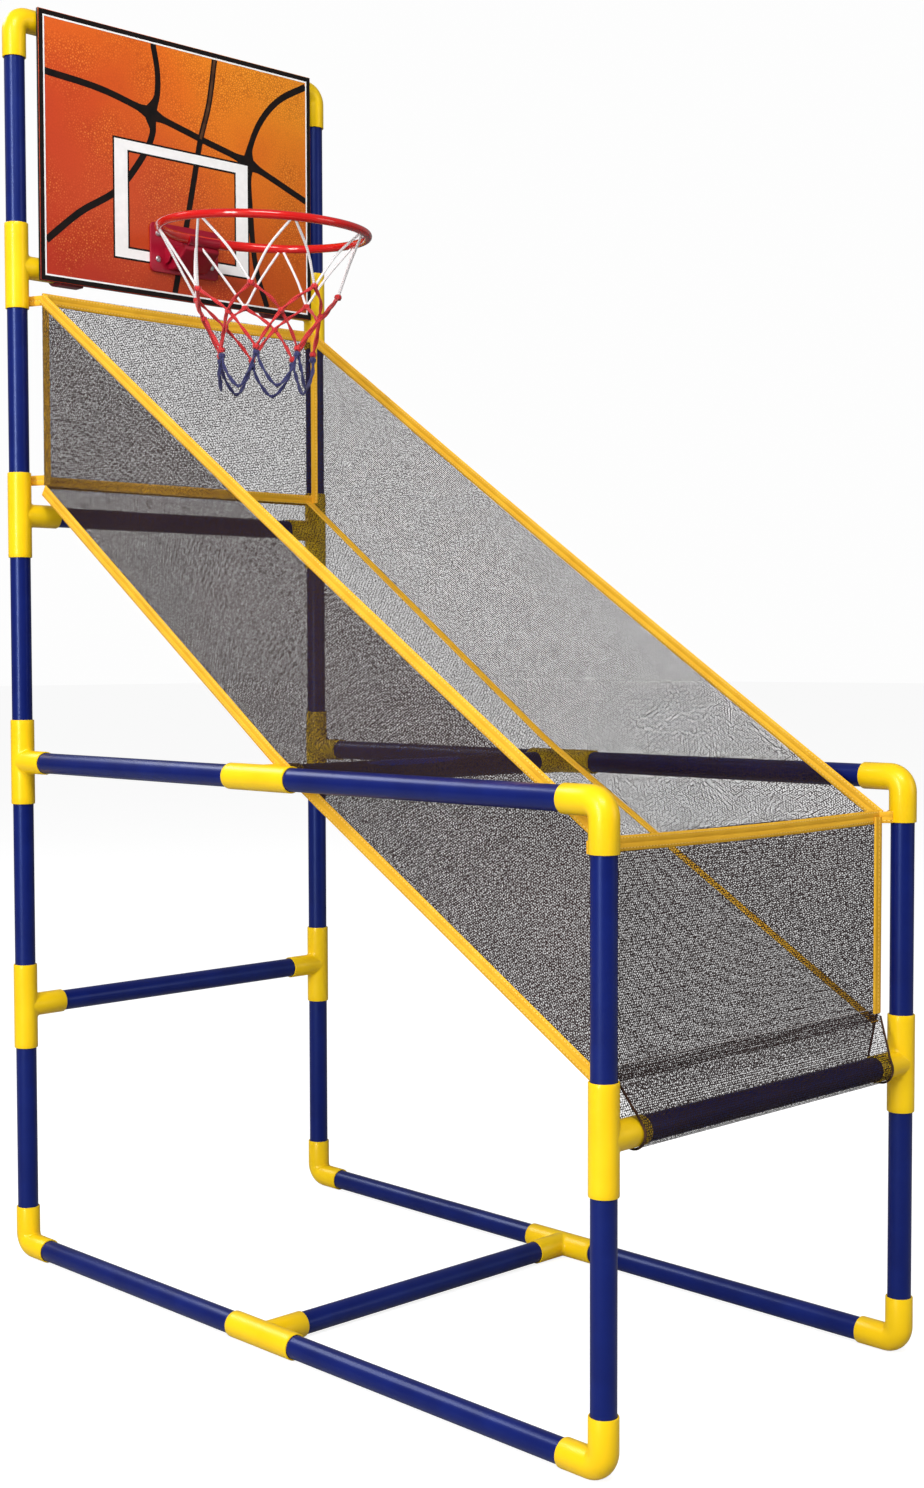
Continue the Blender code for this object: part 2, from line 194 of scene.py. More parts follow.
TAPE = 0.0135               # width of the bag's edge tape
TAPE_THICK = 0.0016
SEAM_TAPE = 0.012
HEM_RISE = 0.055            # stitch line of the front sleeve above the tube's axis
SLEEVE_GAP = 0.0012
SLEEVE_HALF = 0.184
LENGTH_STEPS, WIDTH_STEPS = 72, 24   # grid of the bag's panels
TIE_START, TIE_WRAP = 12, 105       # degrees round the post where a tie starts, and how far it goes
TIE_THICK = 0.0012

# --- The bag's mesh -----------------------------------------------------------------------------------
MESH_PITCH = 0.0024         # between the holes of a row, in metres; the rest is in pitches
HOLE_R, HOLE_EDGE = 0.345, 0.06
HOLE_SHIFT, HOLE_GROWTH = 0.17, 0.06        # how far a hole may be off its place and its size
HOLE_VEIL, YARN_VEIL = 0.10, 0.98           # how much of what is behind they cover

# --- Light --------------------------------------------------------------------------------------------
ROOM_LIGHT = 0.23           # how strongly the white room lights the object
ROOM_WHITE = 0.985          # how white the room looks
FLOOR_GLOW = 0.86           # lifts the floor to the room's white, as an overexposed studio floor
LAMPS = (                   # name, place, watts, width, height
    ("key", (-3.2, -0.7, 1.4), 88.0, 0.7, 2.2),
    ("fill", (1.8, -3.2, 1.4), 16.0, 1.4, 1.8),
    ("top", (-1.6, -1.9, 3.2), 78.0, 1.6, 1.0),
    ("rear", (-0.8, 3.0, 3.2), 55.0, 2.4, 1.0))


# --- Meshes -------------------------------------------------------------------------------------------
def placed(name, data):
    """A new object in the scene."""
    made = bpy.data.objects.new(name, data)
    bpy.context.collection.objects.link(made)
    return made


def keep(name, mesh, material, slot, place=None):
    """A piece of the object that rides on the one body there is."""
    piece = placed(name, mesh)
    if place is not None:
        piece.matrix_world = place
    if not mesh.materials:
        mesh.materials.append(material)
    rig.ride(piece, "root")
    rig.slot(piece, slot)
    return piece


def smooth(mesh, angle):
    mesh.shade_smooth()
    mesh.set_sharp_from_angle(angle=math.radians(angle))


def face_out(mesh):
    """Turns the faces of a closed mesh to point outwards."""
    volume = 0.0
    for face in mesh.polygons:
        corners = [mesh.vertices[i].co for i in face.vertices]
        for b, c in zip(corners[1:], corners[2:]):
            volume += corners[0].dot(b.cross(c))
    if volume < 0:
        mesh.flip_normals()


def skin(name, rings, loop=False, caps=False, sharp=40):
    """Quads from ring to ring, with a UV map in metres: u along the rings, v round each of them."""
    sides = len(rings[0])
    points = [tuple(p) for ring in rings for p in ring]
    gaps = [(rings[(r + 1) % len(rings)][0] - rings[r][0]).length for r in range(len(rings))]
    u_at = [sum(gaps[:r]) for r in range(len(rings) + 1)]
    longest = max(rings, key=lambda ring: (ring[sides // 2] - ring[0]).length)
    v_at = [0.0]
    for i in range(sides):
        v_at.append(v_at[-1] + (longest[(i + 1) % sides] - longest[i]).length)
    faces, uvs = [], []
    for r in range(len(rings) if loop else len(rings) - 1):
        here, there = r * sides, ((r + 1) % len(rings)) * sides
        u, u_next = u_at[r:r + 2]
        for i in range(sides):
            j = (i + 1) % sides
            faces.append((here + i, here + j, there + j, there + i))
            uvs += [(u, v_at[i]), (u, v_at[i + 1]), (u_next, v_at[i + 1]), (u_next, v_at[i])]
    if caps:
        last = (len(rings) - 1) * sides
        faces.append(tuple(reversed(range(sides))))
        faces.append(tuple(last + i for i in range(sides)))
        uvs += [(0.0, 0.0)] * (2 * sides)
    mesh = bpy.data.meshes.new(name)
    mesh.from_pydata(points, [], faces)
    layer = mesh.uv_layers.new(name="UVMap")
    for corner, uv in zip(layer.data, uvs):
        corner.uv = uv
    smooth(mesh, sharp)
    face_out(mesh)
    return mesh


def circle(centre, across, up, radius, sides=ROUND_SIDES):
    angles = [i * 2 * math.pi / sides for i in range(sides)]
    return [centre + across * (radius * math.cos(a)) + up * (radius * math.sin(a)) for a in angles]


def merged(name, meshes):
    """One mesh out of several."""
    parts = [placed("part", mesh) for mesh in meshes]
    with bpy.context.temp_override(active_object=parts[0], selected_editable_objects=parts):
        bpy.ops.object.join()
    mesh = parts[0].data
    mesh.name = name
    bpy.data.objects.remove(parts[0])
    return mesh


def bevelled(name, mesh, width, segments):
    """The mesh with its edges rounded."""
    part = placed(name, mesh)
    bevel = part.modifiers.new("bevel", "BEVEL")
    bevel.width = width
    bevel.segments = segments
    bevel.limit_method = "ANGLE"
    bevel.angle_limit = math.radians(35)
    made = bpy.data.meshes.new_from_object(part.evaluated_get(bpy.context.evaluated_depsgraph_get()))
    bpy.data.objects.remove(part)
    smooth(made, 50)
    return made


def prism(name, outline, low, high, axis):
    """A closed prism: the outline lies in the other two axes, in their order."""
    def level(value):
        ring = []
        for a, b in outline:
            place = [a, b]
            place.insert(axis, value)
            ring.append(Vector(place))
        return ring
    return skin(name, [level(low), level(high)], caps=True, sharp=20)


def smooth_path(points, steps=10):
    """A Catmull-Rom curve through the points."""
    ends = [points[0] * 2 - points[1]] + list(points) + [points[-1] * 2 - points[-2]]
    path = []
    for a, b, c, d in zip(ends, ends[1:], ends[2:], ends[3:]):
        for i in range(steps):
            t = i / steps
            path.append(0.5 * (2 * b + (c - a) * t + (2 * a - 5 * b + 4 * c - d) * t ** 2
                               + (3 * b - a - 3 * c + d) * t ** 3))
    return path + [points[-1].copy()]


def tangents(path):
    last = len(path) - 1
    return [(path[min(i + 1, last)] - path[max(i - 1, 0)]).normalized() for i in range(len(path))]


def string_mesh(name, path, radius, sides=8):
    """A round string with flat ends along a path, without twist."""
    rings = []
    side = tangents(path)[0].orthogonal().normalized()
    for point, way in zip(path, tangents(path)):
        side = (side - way * side.dot(way)).normalized()
        rings.append(circle(point, side, way.cross(side), radius, sides))
    return skin(name, rings, caps=True)


# --- Materials ----------------------------------------------------------------------------------------
class Look:
    """A material's node tree, written in short calls."""

    def __init__(self, name):
        self.material = bpy.data.materials.new(name)
        self.material.use_nodes = True
        self.tree = self.material.node_tree
        self.shader = self.tree.nodes["Principled BSDF"]

    def set(self, **values):
        for key, value in values.items():
            socket = self.shader.inputs[key.replace("_", " ")]
            if isinstance(value, bpy.types.NodeSocket):
                self.tree.links.new(value, socket)
            else:
                is_colour = isinstance(value, tuple) and len(value) == 3
                socket.default_value = (*value, 1.0) if is_colour else value

    def node(self, kind, inputs=(), **settings):
        made = self.tree.nodes.new("ShaderNode" + kind)
        for key, value in settings.items():
            setattr(made, key, value)
        for key, value in dict(inputs).items():
            if isinstance(value, bpy.types.NodeSocket):
                self.tree.links.new(value, made.inputs[key])
            else:
                made.inputs[key].default_value = value
        return made

    def math(self, operation, a, b=0.0):
        return self.node("Math", {0: a, 1: b}, operation=operation).outputs[0]

    def mul(self, a, b):
        return self.math("MULTIPLY", a, b)

    def add(self, a, b):
        return self.math("ADD", a, b)

    def sub(self, a, b):
        return self.math("SUBTRACT", a, b)

    def place(self):
        """Object coordinates, in metres."""
        return self.node("TexCoord").outputs["Object"]

    def cloth(self):
        """The UV map, in metres."""
        return self.node("UVMap", uv_map="UVMap").outputs["UV"]

    def split(self, vector):
        return self.node("SeparateXYZ", {0: vector}).outputs

    def stretched(self, vector, scale):
        return self.node("Mapping", {"Vector": vector, "Scale": scale}).outputs[0]

    def noise(self, vector, scale, detail=2.0, rough=0.5):
        inputs = {"Vector": vector, "Scale": scale, "Detail": detail, "Roughness": rough}
        return self.node("TexNoise", inputs).outputs["Fac"]

    def ramp(self, factor, stops):
        made = self.node("ValToRGB", {"Fac": factor})
        elements = made.color_ramp.elements
        while len(elements) < len(stops):
            elements.new(0.5)
        for element, (at, colour) in zip(elements, stops):
            element.position = at
            element.color = (*colour, 1.0) if isinstance(colour, tuple) else (colour, colour, colour, 1.0)
        return made.outputs["Color"]

    def blend(self, factor, a, b):
        """Colour a where factor is 0, colour b where it is 1."""
        def colour(value):
            return (*value, 1.0) if isinstance(value, tuple) else value
        made = self.node("Mix", {0: factor, 6: colour(a), 7: colour(b)}, data_type="RGBA")
        return made.outputs[2]

    def span(self, value, low, high, to_low=0.0, to_high=1.0):
        inputs = {"Value": value, "From Min": low, "From Max": high, "To Min": to_low, "To Max": to_high}
        return self.node("MapRange", inputs).outputs[0]

    def bump(self, height, distance, strength=1.0, normal=None):
        inputs = {"Height": height, "Distance": distance, "Strength": strength}
        if normal is not None:
            inputs["Normal"] = normal
        return self.node("Bump", inputs).outputs[0]


def moulded(name, dark, light, roughness, tint, along=False, coat=0.08):
    """Glossy plastic: cloudy pigment, soft waviness, fine grain and faint rubbed streaks."""
    look = Look(name)
    place = look.cloth() if along else look.place()
    clouds = look.noise(place, 22.0, 3.0)
    waves = look.noise(place, 70.0, 2.0)
    grain = look.noise(place, 1400.0, 2.0)
    streaks = look.noise(look.stretched(place, (6.0, 900.0, 900.0)), 1.0, 3.0, 0.6)
    rubbed = look.span(streaks, 0.55, 0.75)
    colour = look.blend(look.span(clouds, 0.3, 0.7), dark, light)
    look.set(Base_Color=colour)
    base = look.span(grain, 0.3, 0.7, roughness - 0.03, roughness + 0.04)
    look.set(Roughness=look.add(base, look.mul(rubbed, 0.10)))
    ripple = look.bump(waves, 0.00025, 0.5)
    look.set(Normal=look.bump(grain, 0.00002, 0.35, ripple))
    look.set(Specular_IOR_Level=0.50, Specular_Tint=tint, Coat_Weight=coat, Coat_Roughness=0.06)
    return look.material


def mesh_cloth():
    """Dark polyester mesh: rows of small holes that show what is behind it, and rounded yarns between.

    The holes lie on two oblong lattices, one between the other. Each is a little off its place and size,
    as knitted holes are.
    """
    look = Look("bag_mesh_cloth")
    row = MESH_PITCH * math.sqrt(3.0)
    place = look.place()
    u, v = look.split(look.cloth())[:2]

    def to_centre(shift):
        """Distance to the nearest hole of one of the two lattices, in pitches."""
        across = look.add(look.math("DIVIDE", u, MESH_PITCH), shift)
        along = look.add(look.math("DIVIDE", v, row), shift)
        corner = {0: look.math("FLOOR", across), 1: look.math("FLOOR", along), 2: shift}
        cell = look.node("CombineXYZ", corner)
        chance = look.split(look.node("TexWhiteNoise", {"Vector": cell.outputs[0]}).outputs["Color"])
        off = [look.span(chance[i], 0.0, 1.0, -HOLE_SHIFT, HOLE_SHIFT) for i in range(2)]
        across = look.sub(look.math("FRACT", across), look.add(off[0], 0.5))
        along = look.sub(look.math("FRACT", along), 0.5)
        along = look.add(look.mul(along, math.sqrt(3.0)), off[1])
        squares = look.add(look.mul(across, across), look.mul(along, along))
        growth = look.span(chance[2], 0.0, 1.0, -HOLE_GROWTH, HOLE_GROWTH)
        return look.add(look.math("SQRT", squares), growth)

    near = look.math("MINIMUM", to_centre(0.0), to_centre(0.5))
    solid = look.span(near, HOLE_R - HOLE_EDGE, HOLE_R + HOLE_EDGE, HOLE_VEIL, YARN_VEIL)
    fuzz = look.noise(place, 900.0, 3.0)
    patches = look.noise(place, 9.0, 2.0)
    yarn = look.blend(look.span(fuzz, 0.3, 0.7), (0.013, 0.0065, 0.0068), (0.033, 0.018, 0.018))
    yarn = look.blend(look.span(patches, 0.35, 0.65, 0.0, 0.35), yarn, (0.042, 0.023, 0.022))
    look.set(Base_Color=yarn, Roughness=0.9, Alpha=solid, Specular_IOR_Level=0.12)
    look.set(Normal=look.bump(look.add(near, look.mul(fuzz, 0.15)), 0.0006, 0.6))
    return look.material


def edge_tape():
    """Woven polyester tape: fine ribs, two rows of stitches, and a little wear in its colour."""
    look = Look("bag_edge_tape")
    u, v = look.split(look.cloth())[:2]
    place = look.place()
    ribs = look.math("SINE", look.mul(u, 2 * math.pi / 0.0011))
    picks = look.math("SINE", look.mul(v, 2 * math.pi / 0.0009))
    weave = look.mul(ribs, picks)
    side = look.math("MODULO", v, TAPE + TAPE_THICK)
    off_middle = look.math("ABSOLUTE", look.sub(side, TAPE / 2))
    row = look.math("ABSOLUTE", look.sub(off_middle, TAPE * 0.33))
    in_row = look.math("LESS_THAN", row, 0.00045)
    dash = look.math("LESS_THAN", look.math("FRACT", look.math("DIVIDE", u, 0.0042)), 0.62)
    stitch = look.mul(in_row, dash)
    clouds = look.noise(place, 30.0, 3.0)
    fuzz = look.noise(place, 1500.0, 2.0)
    colour = look.blend(look.span(clouds, 0.3, 0.7), (0.83, 0.425, 0.020), (0.93, 0.520, 0.032))
    colour = look.blend(look.span(weave, -1.0, 1.0, 0.0, 0.22), colour, (0.48, 0.21, 0.008))
    colour = look.blend(look.mul(in_row, 0.45), colour, (0.42, 0.17, 0.008))
    colour = look.blend(stitch, colour, (0.95, 0.60, 0.12))
    look.set(Base_Color=colour, Roughness=0.8, Specular_IOR_Level=0.25)
    ground = look.bump(look.add(weave, fuzz), 0.00010, 0.6)
    look.set(Normal=look.bump(stitch, 0.0004, 0.8, ground))
    return look.material


def ball_print(middle, half_width, half_height):
    """The board's printed face: a close-up of pebbled orange leather, lighter towards the top right."""
    look = Look("backboard_print")
    x, _, z = look.split(look.place())[:3]
    across = look.span(x, middle.x - half_width, middle.x + half_width)
    up = look.span(z, middle.z - half_height, middle.z + half_height)
    place = look.place()
    soft = look.noise(place, 7.0, 2.0)
    light = look.add(look.mul(across, 0.55), look.mul(up, 0.50))
    light = look.add(light, look.span(soft, 0.3, 0.7, -0.10, 0.10))
    colour = look.ramp(light, [
        (0.08, (0.44, 0.034, 0.015)), (0.40, (0.56, 0.066, 0.012)),
        (0.66, (0.78, 0.160, 0.011)), (0.95, (0.96, 0.320, 0.016))])
    cells = look.node("TexVoronoi", {"Vector": place, "Scale": 330.0}, feature="DISTANCE_TO_EDGE")
    pebble = look.span(cells.outputs["Distance"], 0.0, 0.18)
    fade = look.span(look.noise(place, 14.0, 1.0), 0.40, 0.60)
    groove = look.mul(look.sub(1.0, pebble), look.add(0.18, look.mul(fade, 0.42)))
    colour = look.blend(groove, colour, (0.30, 0.024, 0.005))
    crown = look.mul(look.span(cells.outputs["Distance"], 0.22, 0.42), fade)
    colour = look.blend(look.mul(crown, 0.30), colour, (0.95, 0.45, 0.10))
    look.set(Base_Color=colour, Roughness=0.40, Specular_IOR_Level=0.22)
    look.set(Normal=look.bump(look.noise(place, 900.0, 2.0), 0.00003, 0.4))
    return look.material


def ink(name, colour, other, roughness=0.45, gloss=0.15):
    """A flat layer of ink, a little uneven."""
    look = Look(name)
    place = look.place()
    look.set(Base_Color=look.blend(look.span(look.noise(place, 120.0, 3.0), 0.35, 0.65), colour, other))
    look.set(Roughness=look.span(look.noise(place, 500.0, 2.0), 0.3, 0.7, roughness - 0.05, roughness + 0.06))
    look.set(Normal=look.bump(look.noise(place, 900.0, 2.0), 0.00002, 0.4), Specular_IOR_Level=gloss)
    return look.material


def twisted_string(name, dark, light):
    """Braided polyester string: slanted plies and loose fibre, with painted shade in the grooves between the plies and
    a painted highlight on their crowns.
    """
    look = Look(name)
    u, v = look.split(look.cloth())[:2]
    slant = look.add(look.mul(u, 2 * math.pi / 0.0024),
                      look.mul(v, 1.0 / STRING_R))
    plies = look.math("SINE", slant)
    fuzz = look.noise(look.place(), 1800.0, 2.0)
    # Painted shade and highlight: the colour is dark in the ply grooves and light on the ply crowns, where the bump
    # rises; the fibre fuzz adds random lighter flecks.
    shade = look.add(look.span(plies, -1.0, 1.0, 0.0, 0.7), look.mul(fuzz, 0.3))
    look.set(Base_Color=look.blend(shade, dark, light), Roughness=0.7, Sheen_Weight=0.3)
    look.set(Normal=look.bump(look.add(plies, look.mul(fuzz, 0.4)), 0.0003, 0.7))
    return look.material


def zinc():
    look = Look("screw_zinc")
    place = look.place()
    look.set(Base_Color=look.blend(look.noise(place, 900.0, 3.0), (0.52, 0.52, 0.54), (0.72, 0.72, 0.74)))
    look.set(Metallic=1.0, Roughness=look.span(look.noise(place, 1500.0, 2.0), 0.3, 0.7, 0.24, 0.42))
    look.set(Normal=look.bump(look.noise(place, 2500.0, 2.0), 0.00002, 0.5))
    return look.material


# --- Frame: tubes and connectors ----------------------------------------------------------------------
def box_of(name):
    """The low and the high corner of a CAD node."""
    return [Vector(corner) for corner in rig.box(name)]


def middle_of(low, high):
    return (low + high) / 2


def build_tube(name, material):
    """A round hollow tube with eased ends in the place of the CAD's faceted one."""
    low, high = box_of(name)
    size = high - low
    axis = max(range(3), key=lambda i: size[i])
    radius = min(size) / 2
    along = (X, Y, Z)[axis]
    across, up = (Y, Z) if axis == 0 else (Z, X) if axis == 1 else (X, Y)
    length = size[axis]
    foot = middle_of(low, high) - along * (length / 2)
    inner = radius - TUBE_WALL
    ease = 0.0003
    stations = [(ease, radius), (length - ease, radius), (length, radius - ease), (length, inner + ease),
                (length - ease, inner), (ease, inner), (0.0, inner + ease), (0.0, radius - ease)]
    rings = [circle(foot + along * at, across, up, r) for at, r in stations]
    tube = keep(f"{name}_round", skin(name, rings, loop=True), material, "tube_blue")
    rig.replaces(tube, name)


def elbow_mesh(arm, radius):
    """Two sockets at a right angle, on +X and +Z, joined by a rounded bend."""
    stop = arm - SOCKET_DEPTH
    steps = 12
    bend = []
    for i in range(steps + 1):
        angle = i * (math.pi / 2) / steps
        outward = Vector((-math.sin(angle), 0, -math.cos(angle)))
        bend.append((Vector((ELBOW_BEND_R, 0, ELBOW_BEND_R)) + outward * ELBOW_BEND_R, -outward))

    def at(distance, way, up, r):
        return circle(way * distance, Y, up, r)

    ease = MOUTH_ROUND
    rim = [(arm - ease, radius), (arm - 0.3 * ease, radius - 0.3 * ease), (arm, radius - ease),
           (arm, SOCKET_R + 0.3 * ease), (arm - 0.5 * ease, SOCKET_R)]
    rings = [at(d, X, Z, r) for d, r in reversed(rim[:3])]
    rings += [circle(p, Y, up, radius) for p, up in bend]
    rings += [at(d, Z, X, r) for d, r in rim]
    rings += [at(stop, Z, X, SOCKET_R), at(stop, Z, X, STOP_R)]
    rings += [circle(p, Y, up, STOP_R) for p, up in reversed(bend)]
    rings += [at(stop, X, Z, STOP_R), at(stop, X, Z, SOCKET_R)]
    rings += [at(d, X, Z, r) for d, r in reversed(rim[3:])]
    return skin("elbow", rings, loop=True)


class Tee:
    """A straight run along Z with a side port on +X that grows out of it in a soft fillet.

    The front half of the run is a grid between a square frame and the fillet's foot, so that the port's
    rings carry on from it. Each socket ends at a flat stop.
    """

    QUARTER = 24                # points along each side of the square frame

    def __init__(self, half, reach, radius):
        self.reach, self.radius = reach, radius
        self.port_r = radius - 0.0003
        self.top = half - MOUTH_ROUND
        self.points, self.faces = [], []
        self.angles = [math.pi / 4 * (2 * i / self.QUARTER - 1 + 2 * side)
                       for side in range(4) for i in range(self.QUARTER)]

    def ring(self, items):
        start = len(self.points)
        self.points.extend(Vector(p) for p in items)
        return list(range(start, len(self.points)))

    def join(self, a, b, around=True):
        for i in range(len(a) if around else len(a) - 1):
            j = (i + 1) % len(a)
            self.faces.append((a[i], a[j], b[j], b[i]))
        return b

    def on_run(self, phi, z, r=None):
        r = self.radius if r is None else r
        return (r * math.cos(phi), r * math.sin(phi), z)

    def fillet(self, angle):
        return TEE_FILLET * math.cos(angle) ** 2 + TEE_FILLET_SIDE

    def round_run(self, rho, angle):
        """How far round the run the circle of radius rho about the port's axis meets it."""
        return math.asin(min(1.0, rho * math.sin(angle) / self.radius))

    def front(self):
        """The front half of the run, from its frame to the fillet's foot."""
        edge, foot = [], []
        for side in range(4):
            for i in range(self.QUARTER):
                t = 2 * i / self.QUARTER - 1
                spot = ((t, 1), (1, -t), (-t, -1), (-1, t))[side]
                edge.append((spot[0] * math.pi / 2, spot[1] * self.top))
        for angle in self.angles:
            rho = self.port_r + self.fillet(angle)
            foot.append((self.round_run(rho, angle), rho * math.cos(angle)))
        steps = 7
        grid = []
        for k in range(steps + 1):
            t = (k / steps) ** 0.8
            grid.append(self.ring(self.on_run(a[0] * (1 - t) + b[0] * t, a[1] * (1 - t) + b[1] * t)
                                  for a, b in zip(edge, foot)))
        for a, b in zip(grid, grid[1:]):
            self.join(a, b)
        return grid[0], grid[-1]

    def port(self, last):
        """The fillet and the side socket."""
        steps = 6
        for k in range(1, steps + 1):
            t = k / steps
            items = []
            for angle in self.angles:
                fillet = self.fillet(angle)
                rho_foot = self.port_r + fillet
                x_foot = self.radius * math.cos(self.round_run(rho_foot, angle))
                x_wall = self.radius * math.cos(self.round_run(self.port_r, angle))
                rho = rho_foot * (1 - t) ** 2 + self.port_r * (1 - (1 - t) ** 2)
                x = x_foot * (1 - t) ** 2 + x_wall * 2 * t * (1 - t) + (x_wall + fillet) * t ** 2
                items.append((x, rho * math.sin(angle), rho * math.cos(angle)))
            last = self.join(last, self.ring(items))
        reach, port_r, ease = self.reach, self.port_r, MOUTH_ROUND
        for x, r in ((self.radius + TEE_FILLET + 0.001, port_r), (reach - ease, port_r),
                     (reach - 0.3 * ease, port_r - 0.3 * ease), (reach, port_r - ease),
                     (reach, SOCKET_R + 0.3 * ease), (reach - 0.5 * ease, SOCKET_R),
                     (reach - SOCKET_DEPTH, SOCKET_R)):
            last = self.join(last, self.ring((x, r * math.sin(a), r * math.cos(a)) for a in self.angles))
        self.faces.append(tuple(last))

    def back(self, outer):
        """The back half of the run. Returns the rings of points at its upper and lower mouth."""
        quarter = self.QUARTER
        right = [outer[quarter + i] for i in range(quarter)] + [outer[2 * quarter]]
        left = [outer[0]] + [outer[4 * quarter - 1 - i] for i in range(quarter)]
        columns = [right]
        for column in range(1, quarter):
            phi = math.pi / 2 + math.pi * column / quarter
            columns.append(self.ring(self.on_run(phi, self.top * (1 - 2 * i / quarter))
                                     for i in range(quarter + 1)))
        columns.append(left)
        for a, b in zip(columns, columns[1:]):
            self.join(a, b, around=False)
        upper = outer[:quarter] + [column[0] for column in columns[:-1]]
        lower = [outer[3 * quarter - i] for i in range(quarter)] + [column[-1] for column in columns[:-1]]
        return upper, lower

    def mouth(self, last, sign):
        """A socket at one end of the run."""
        ease = MOUTH_ROUND
        phis = [math.atan2(self.points[i].y, self.points[i].x) for i in last]
        for inset, r in ((0.7 * ease, self.radius - 0.3 * ease), (ease, self.radius - ease),
                         (ease, SOCKET_R + 0.3 * ease), (0.5 * ease, SOCKET_R),
                         (ease - SOCKET_DEPTH, SOCKET_R)):
            last = self.join(last, self.ring(self.on_run(phi, sign * (self.top + inset), r) for phi in phis))
        self.faces.append(tuple(last))

    def mesh(self):
        outer, foot = self.front()
        self.port(foot)
        upper, lower = self.back(outer)
        self.mouth(upper, 1)
        self.mouth(lower, -1)
        mesh = bpy.data.meshes.new("tee")
        mesh.from_pydata([tuple(p) for p in self.points], [], self.faces)
        turned_out(mesh)
        smooth(mesh, 40)
        return mesh


def turned_out(mesh):
    """Turns all the faces of a mesh the same way, outwards."""
    work = bmesh.new()
    work.from_mesh(mesh)
    bmesh.ops.recalc_face_normals(work, faces=work.faces)
    work.to_mesh(mesh)
    work.free()
    face_out(mesh)


def arms_of(name):
    """The directions of a connector's +X arm or port, and of its +Z arm or run."""
    inward = X if name.startswith("left") else -X
    arms = {"rear_foot_elbow": (-Y, Z), "rear_top_elbow": (inward, -Z),
            "front_foot_elbow": (Y, Z), "front_top_elbow": (Y, -Z),
            "rear_tee_2": (-Y, Z), "base_tee": (inward, -Y), "rail_tee": (inward, -Y)}
    return next((both for ending, both in arms.items() if name.endswith(ending)), (inward, Z))


def build_connectors(material):
    nodes = [n for n in frame["nodes"] if n.endswith("elbow") or "_tee" in n]
    low, high = box_of("left_rear_foot_elbow")
    radius = (high.x - low.x) / 2
    arm = high.z - low.z - radius
    elbow = elbow_mesh(arm, radius)
    low, high = box_of("left_rear_tee_1")
    tee = Tee((high.z - low.z) / 2, high.x - low.x - radius, radius).mesh()
    for name in nodes:
        x_axis, z_axis = arms_of(name)
        low, high = box_of(name)
        corner = middle_of(low, high)
        is_elbow = name.endswith("elbow")
        for way in [x_axis, z_axis] if is_elbow else [x_axis]:
            axis = max(range(3), key=lambda i: abs(way[i]))
            corner[axis] = low[axis] + radius if way[axis] > 0 else high[axis] - radius
        turn = Matrix((x_axis, z_axis.cross(x_axis), z_axis)).transposed().to_4x4()
        piece = keep(f"{name}_moulded", elbow if is_elbow else tee, material, "connector_yellow",
                     Matrix.Translation(corner) @ turn)
        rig.replaces(piece, name)


# --- Backboard ----------------------------------------------------------------------------------------
def flat_strip(name, path, width, front_y, joints=()):
    """A strip of ink on the board along a path of (x, z) points, wider where it nears a joint."""
    points = smooth_path([Vector((x, front_y, z)) for x, z in path], 16)
    rings = []
    back = Y * (PRINT_LIFT * 0.9)
    for point, way in zip(points, tangents(points)):
        near = min([(point - Vector((x, front_y, z))).length for x, z in joints], default=1.0)
        half = width / 2 * (1 + JOINT_SWELL * math.exp(-(near / JOINT_REACH) ** 2))
        side = way.cross(Y).normalized() * half
        rings.append([point - side, point + side, point + side + back, point - side + back])
    return skin(name, rings, caps=True, sharp=20)


def frame_strip(name, outer_x, top, bottom, bar_x, bar_z, front_y, centre_x):
    """A rectangular ring of ink, outer_x either side of the middle."""
    outer = [(-outer_x, bottom), (outer_x, bottom), (outer_x, top), (-outer_x, top)]
    inner = [(-outer_x + bar_x, bottom + bar_z), (outer_x - bar_x, bottom + bar_z),
             (outer_x - bar_x, top - bar_z), (-outer_x + bar_x, top - bar_z)]
    rings = []
    for outline, y in ((outer, front_y), (inner, front_y), (inner, front_y + PRINT_LIFT * 0.9),
                       (outer, front_y + PRINT_LIFT * 0.9)):
        rings.append([Vector((centre_x + x, y, z)) for x, z in outline])
    return skin(name, rings, loop=True, sharp=20)


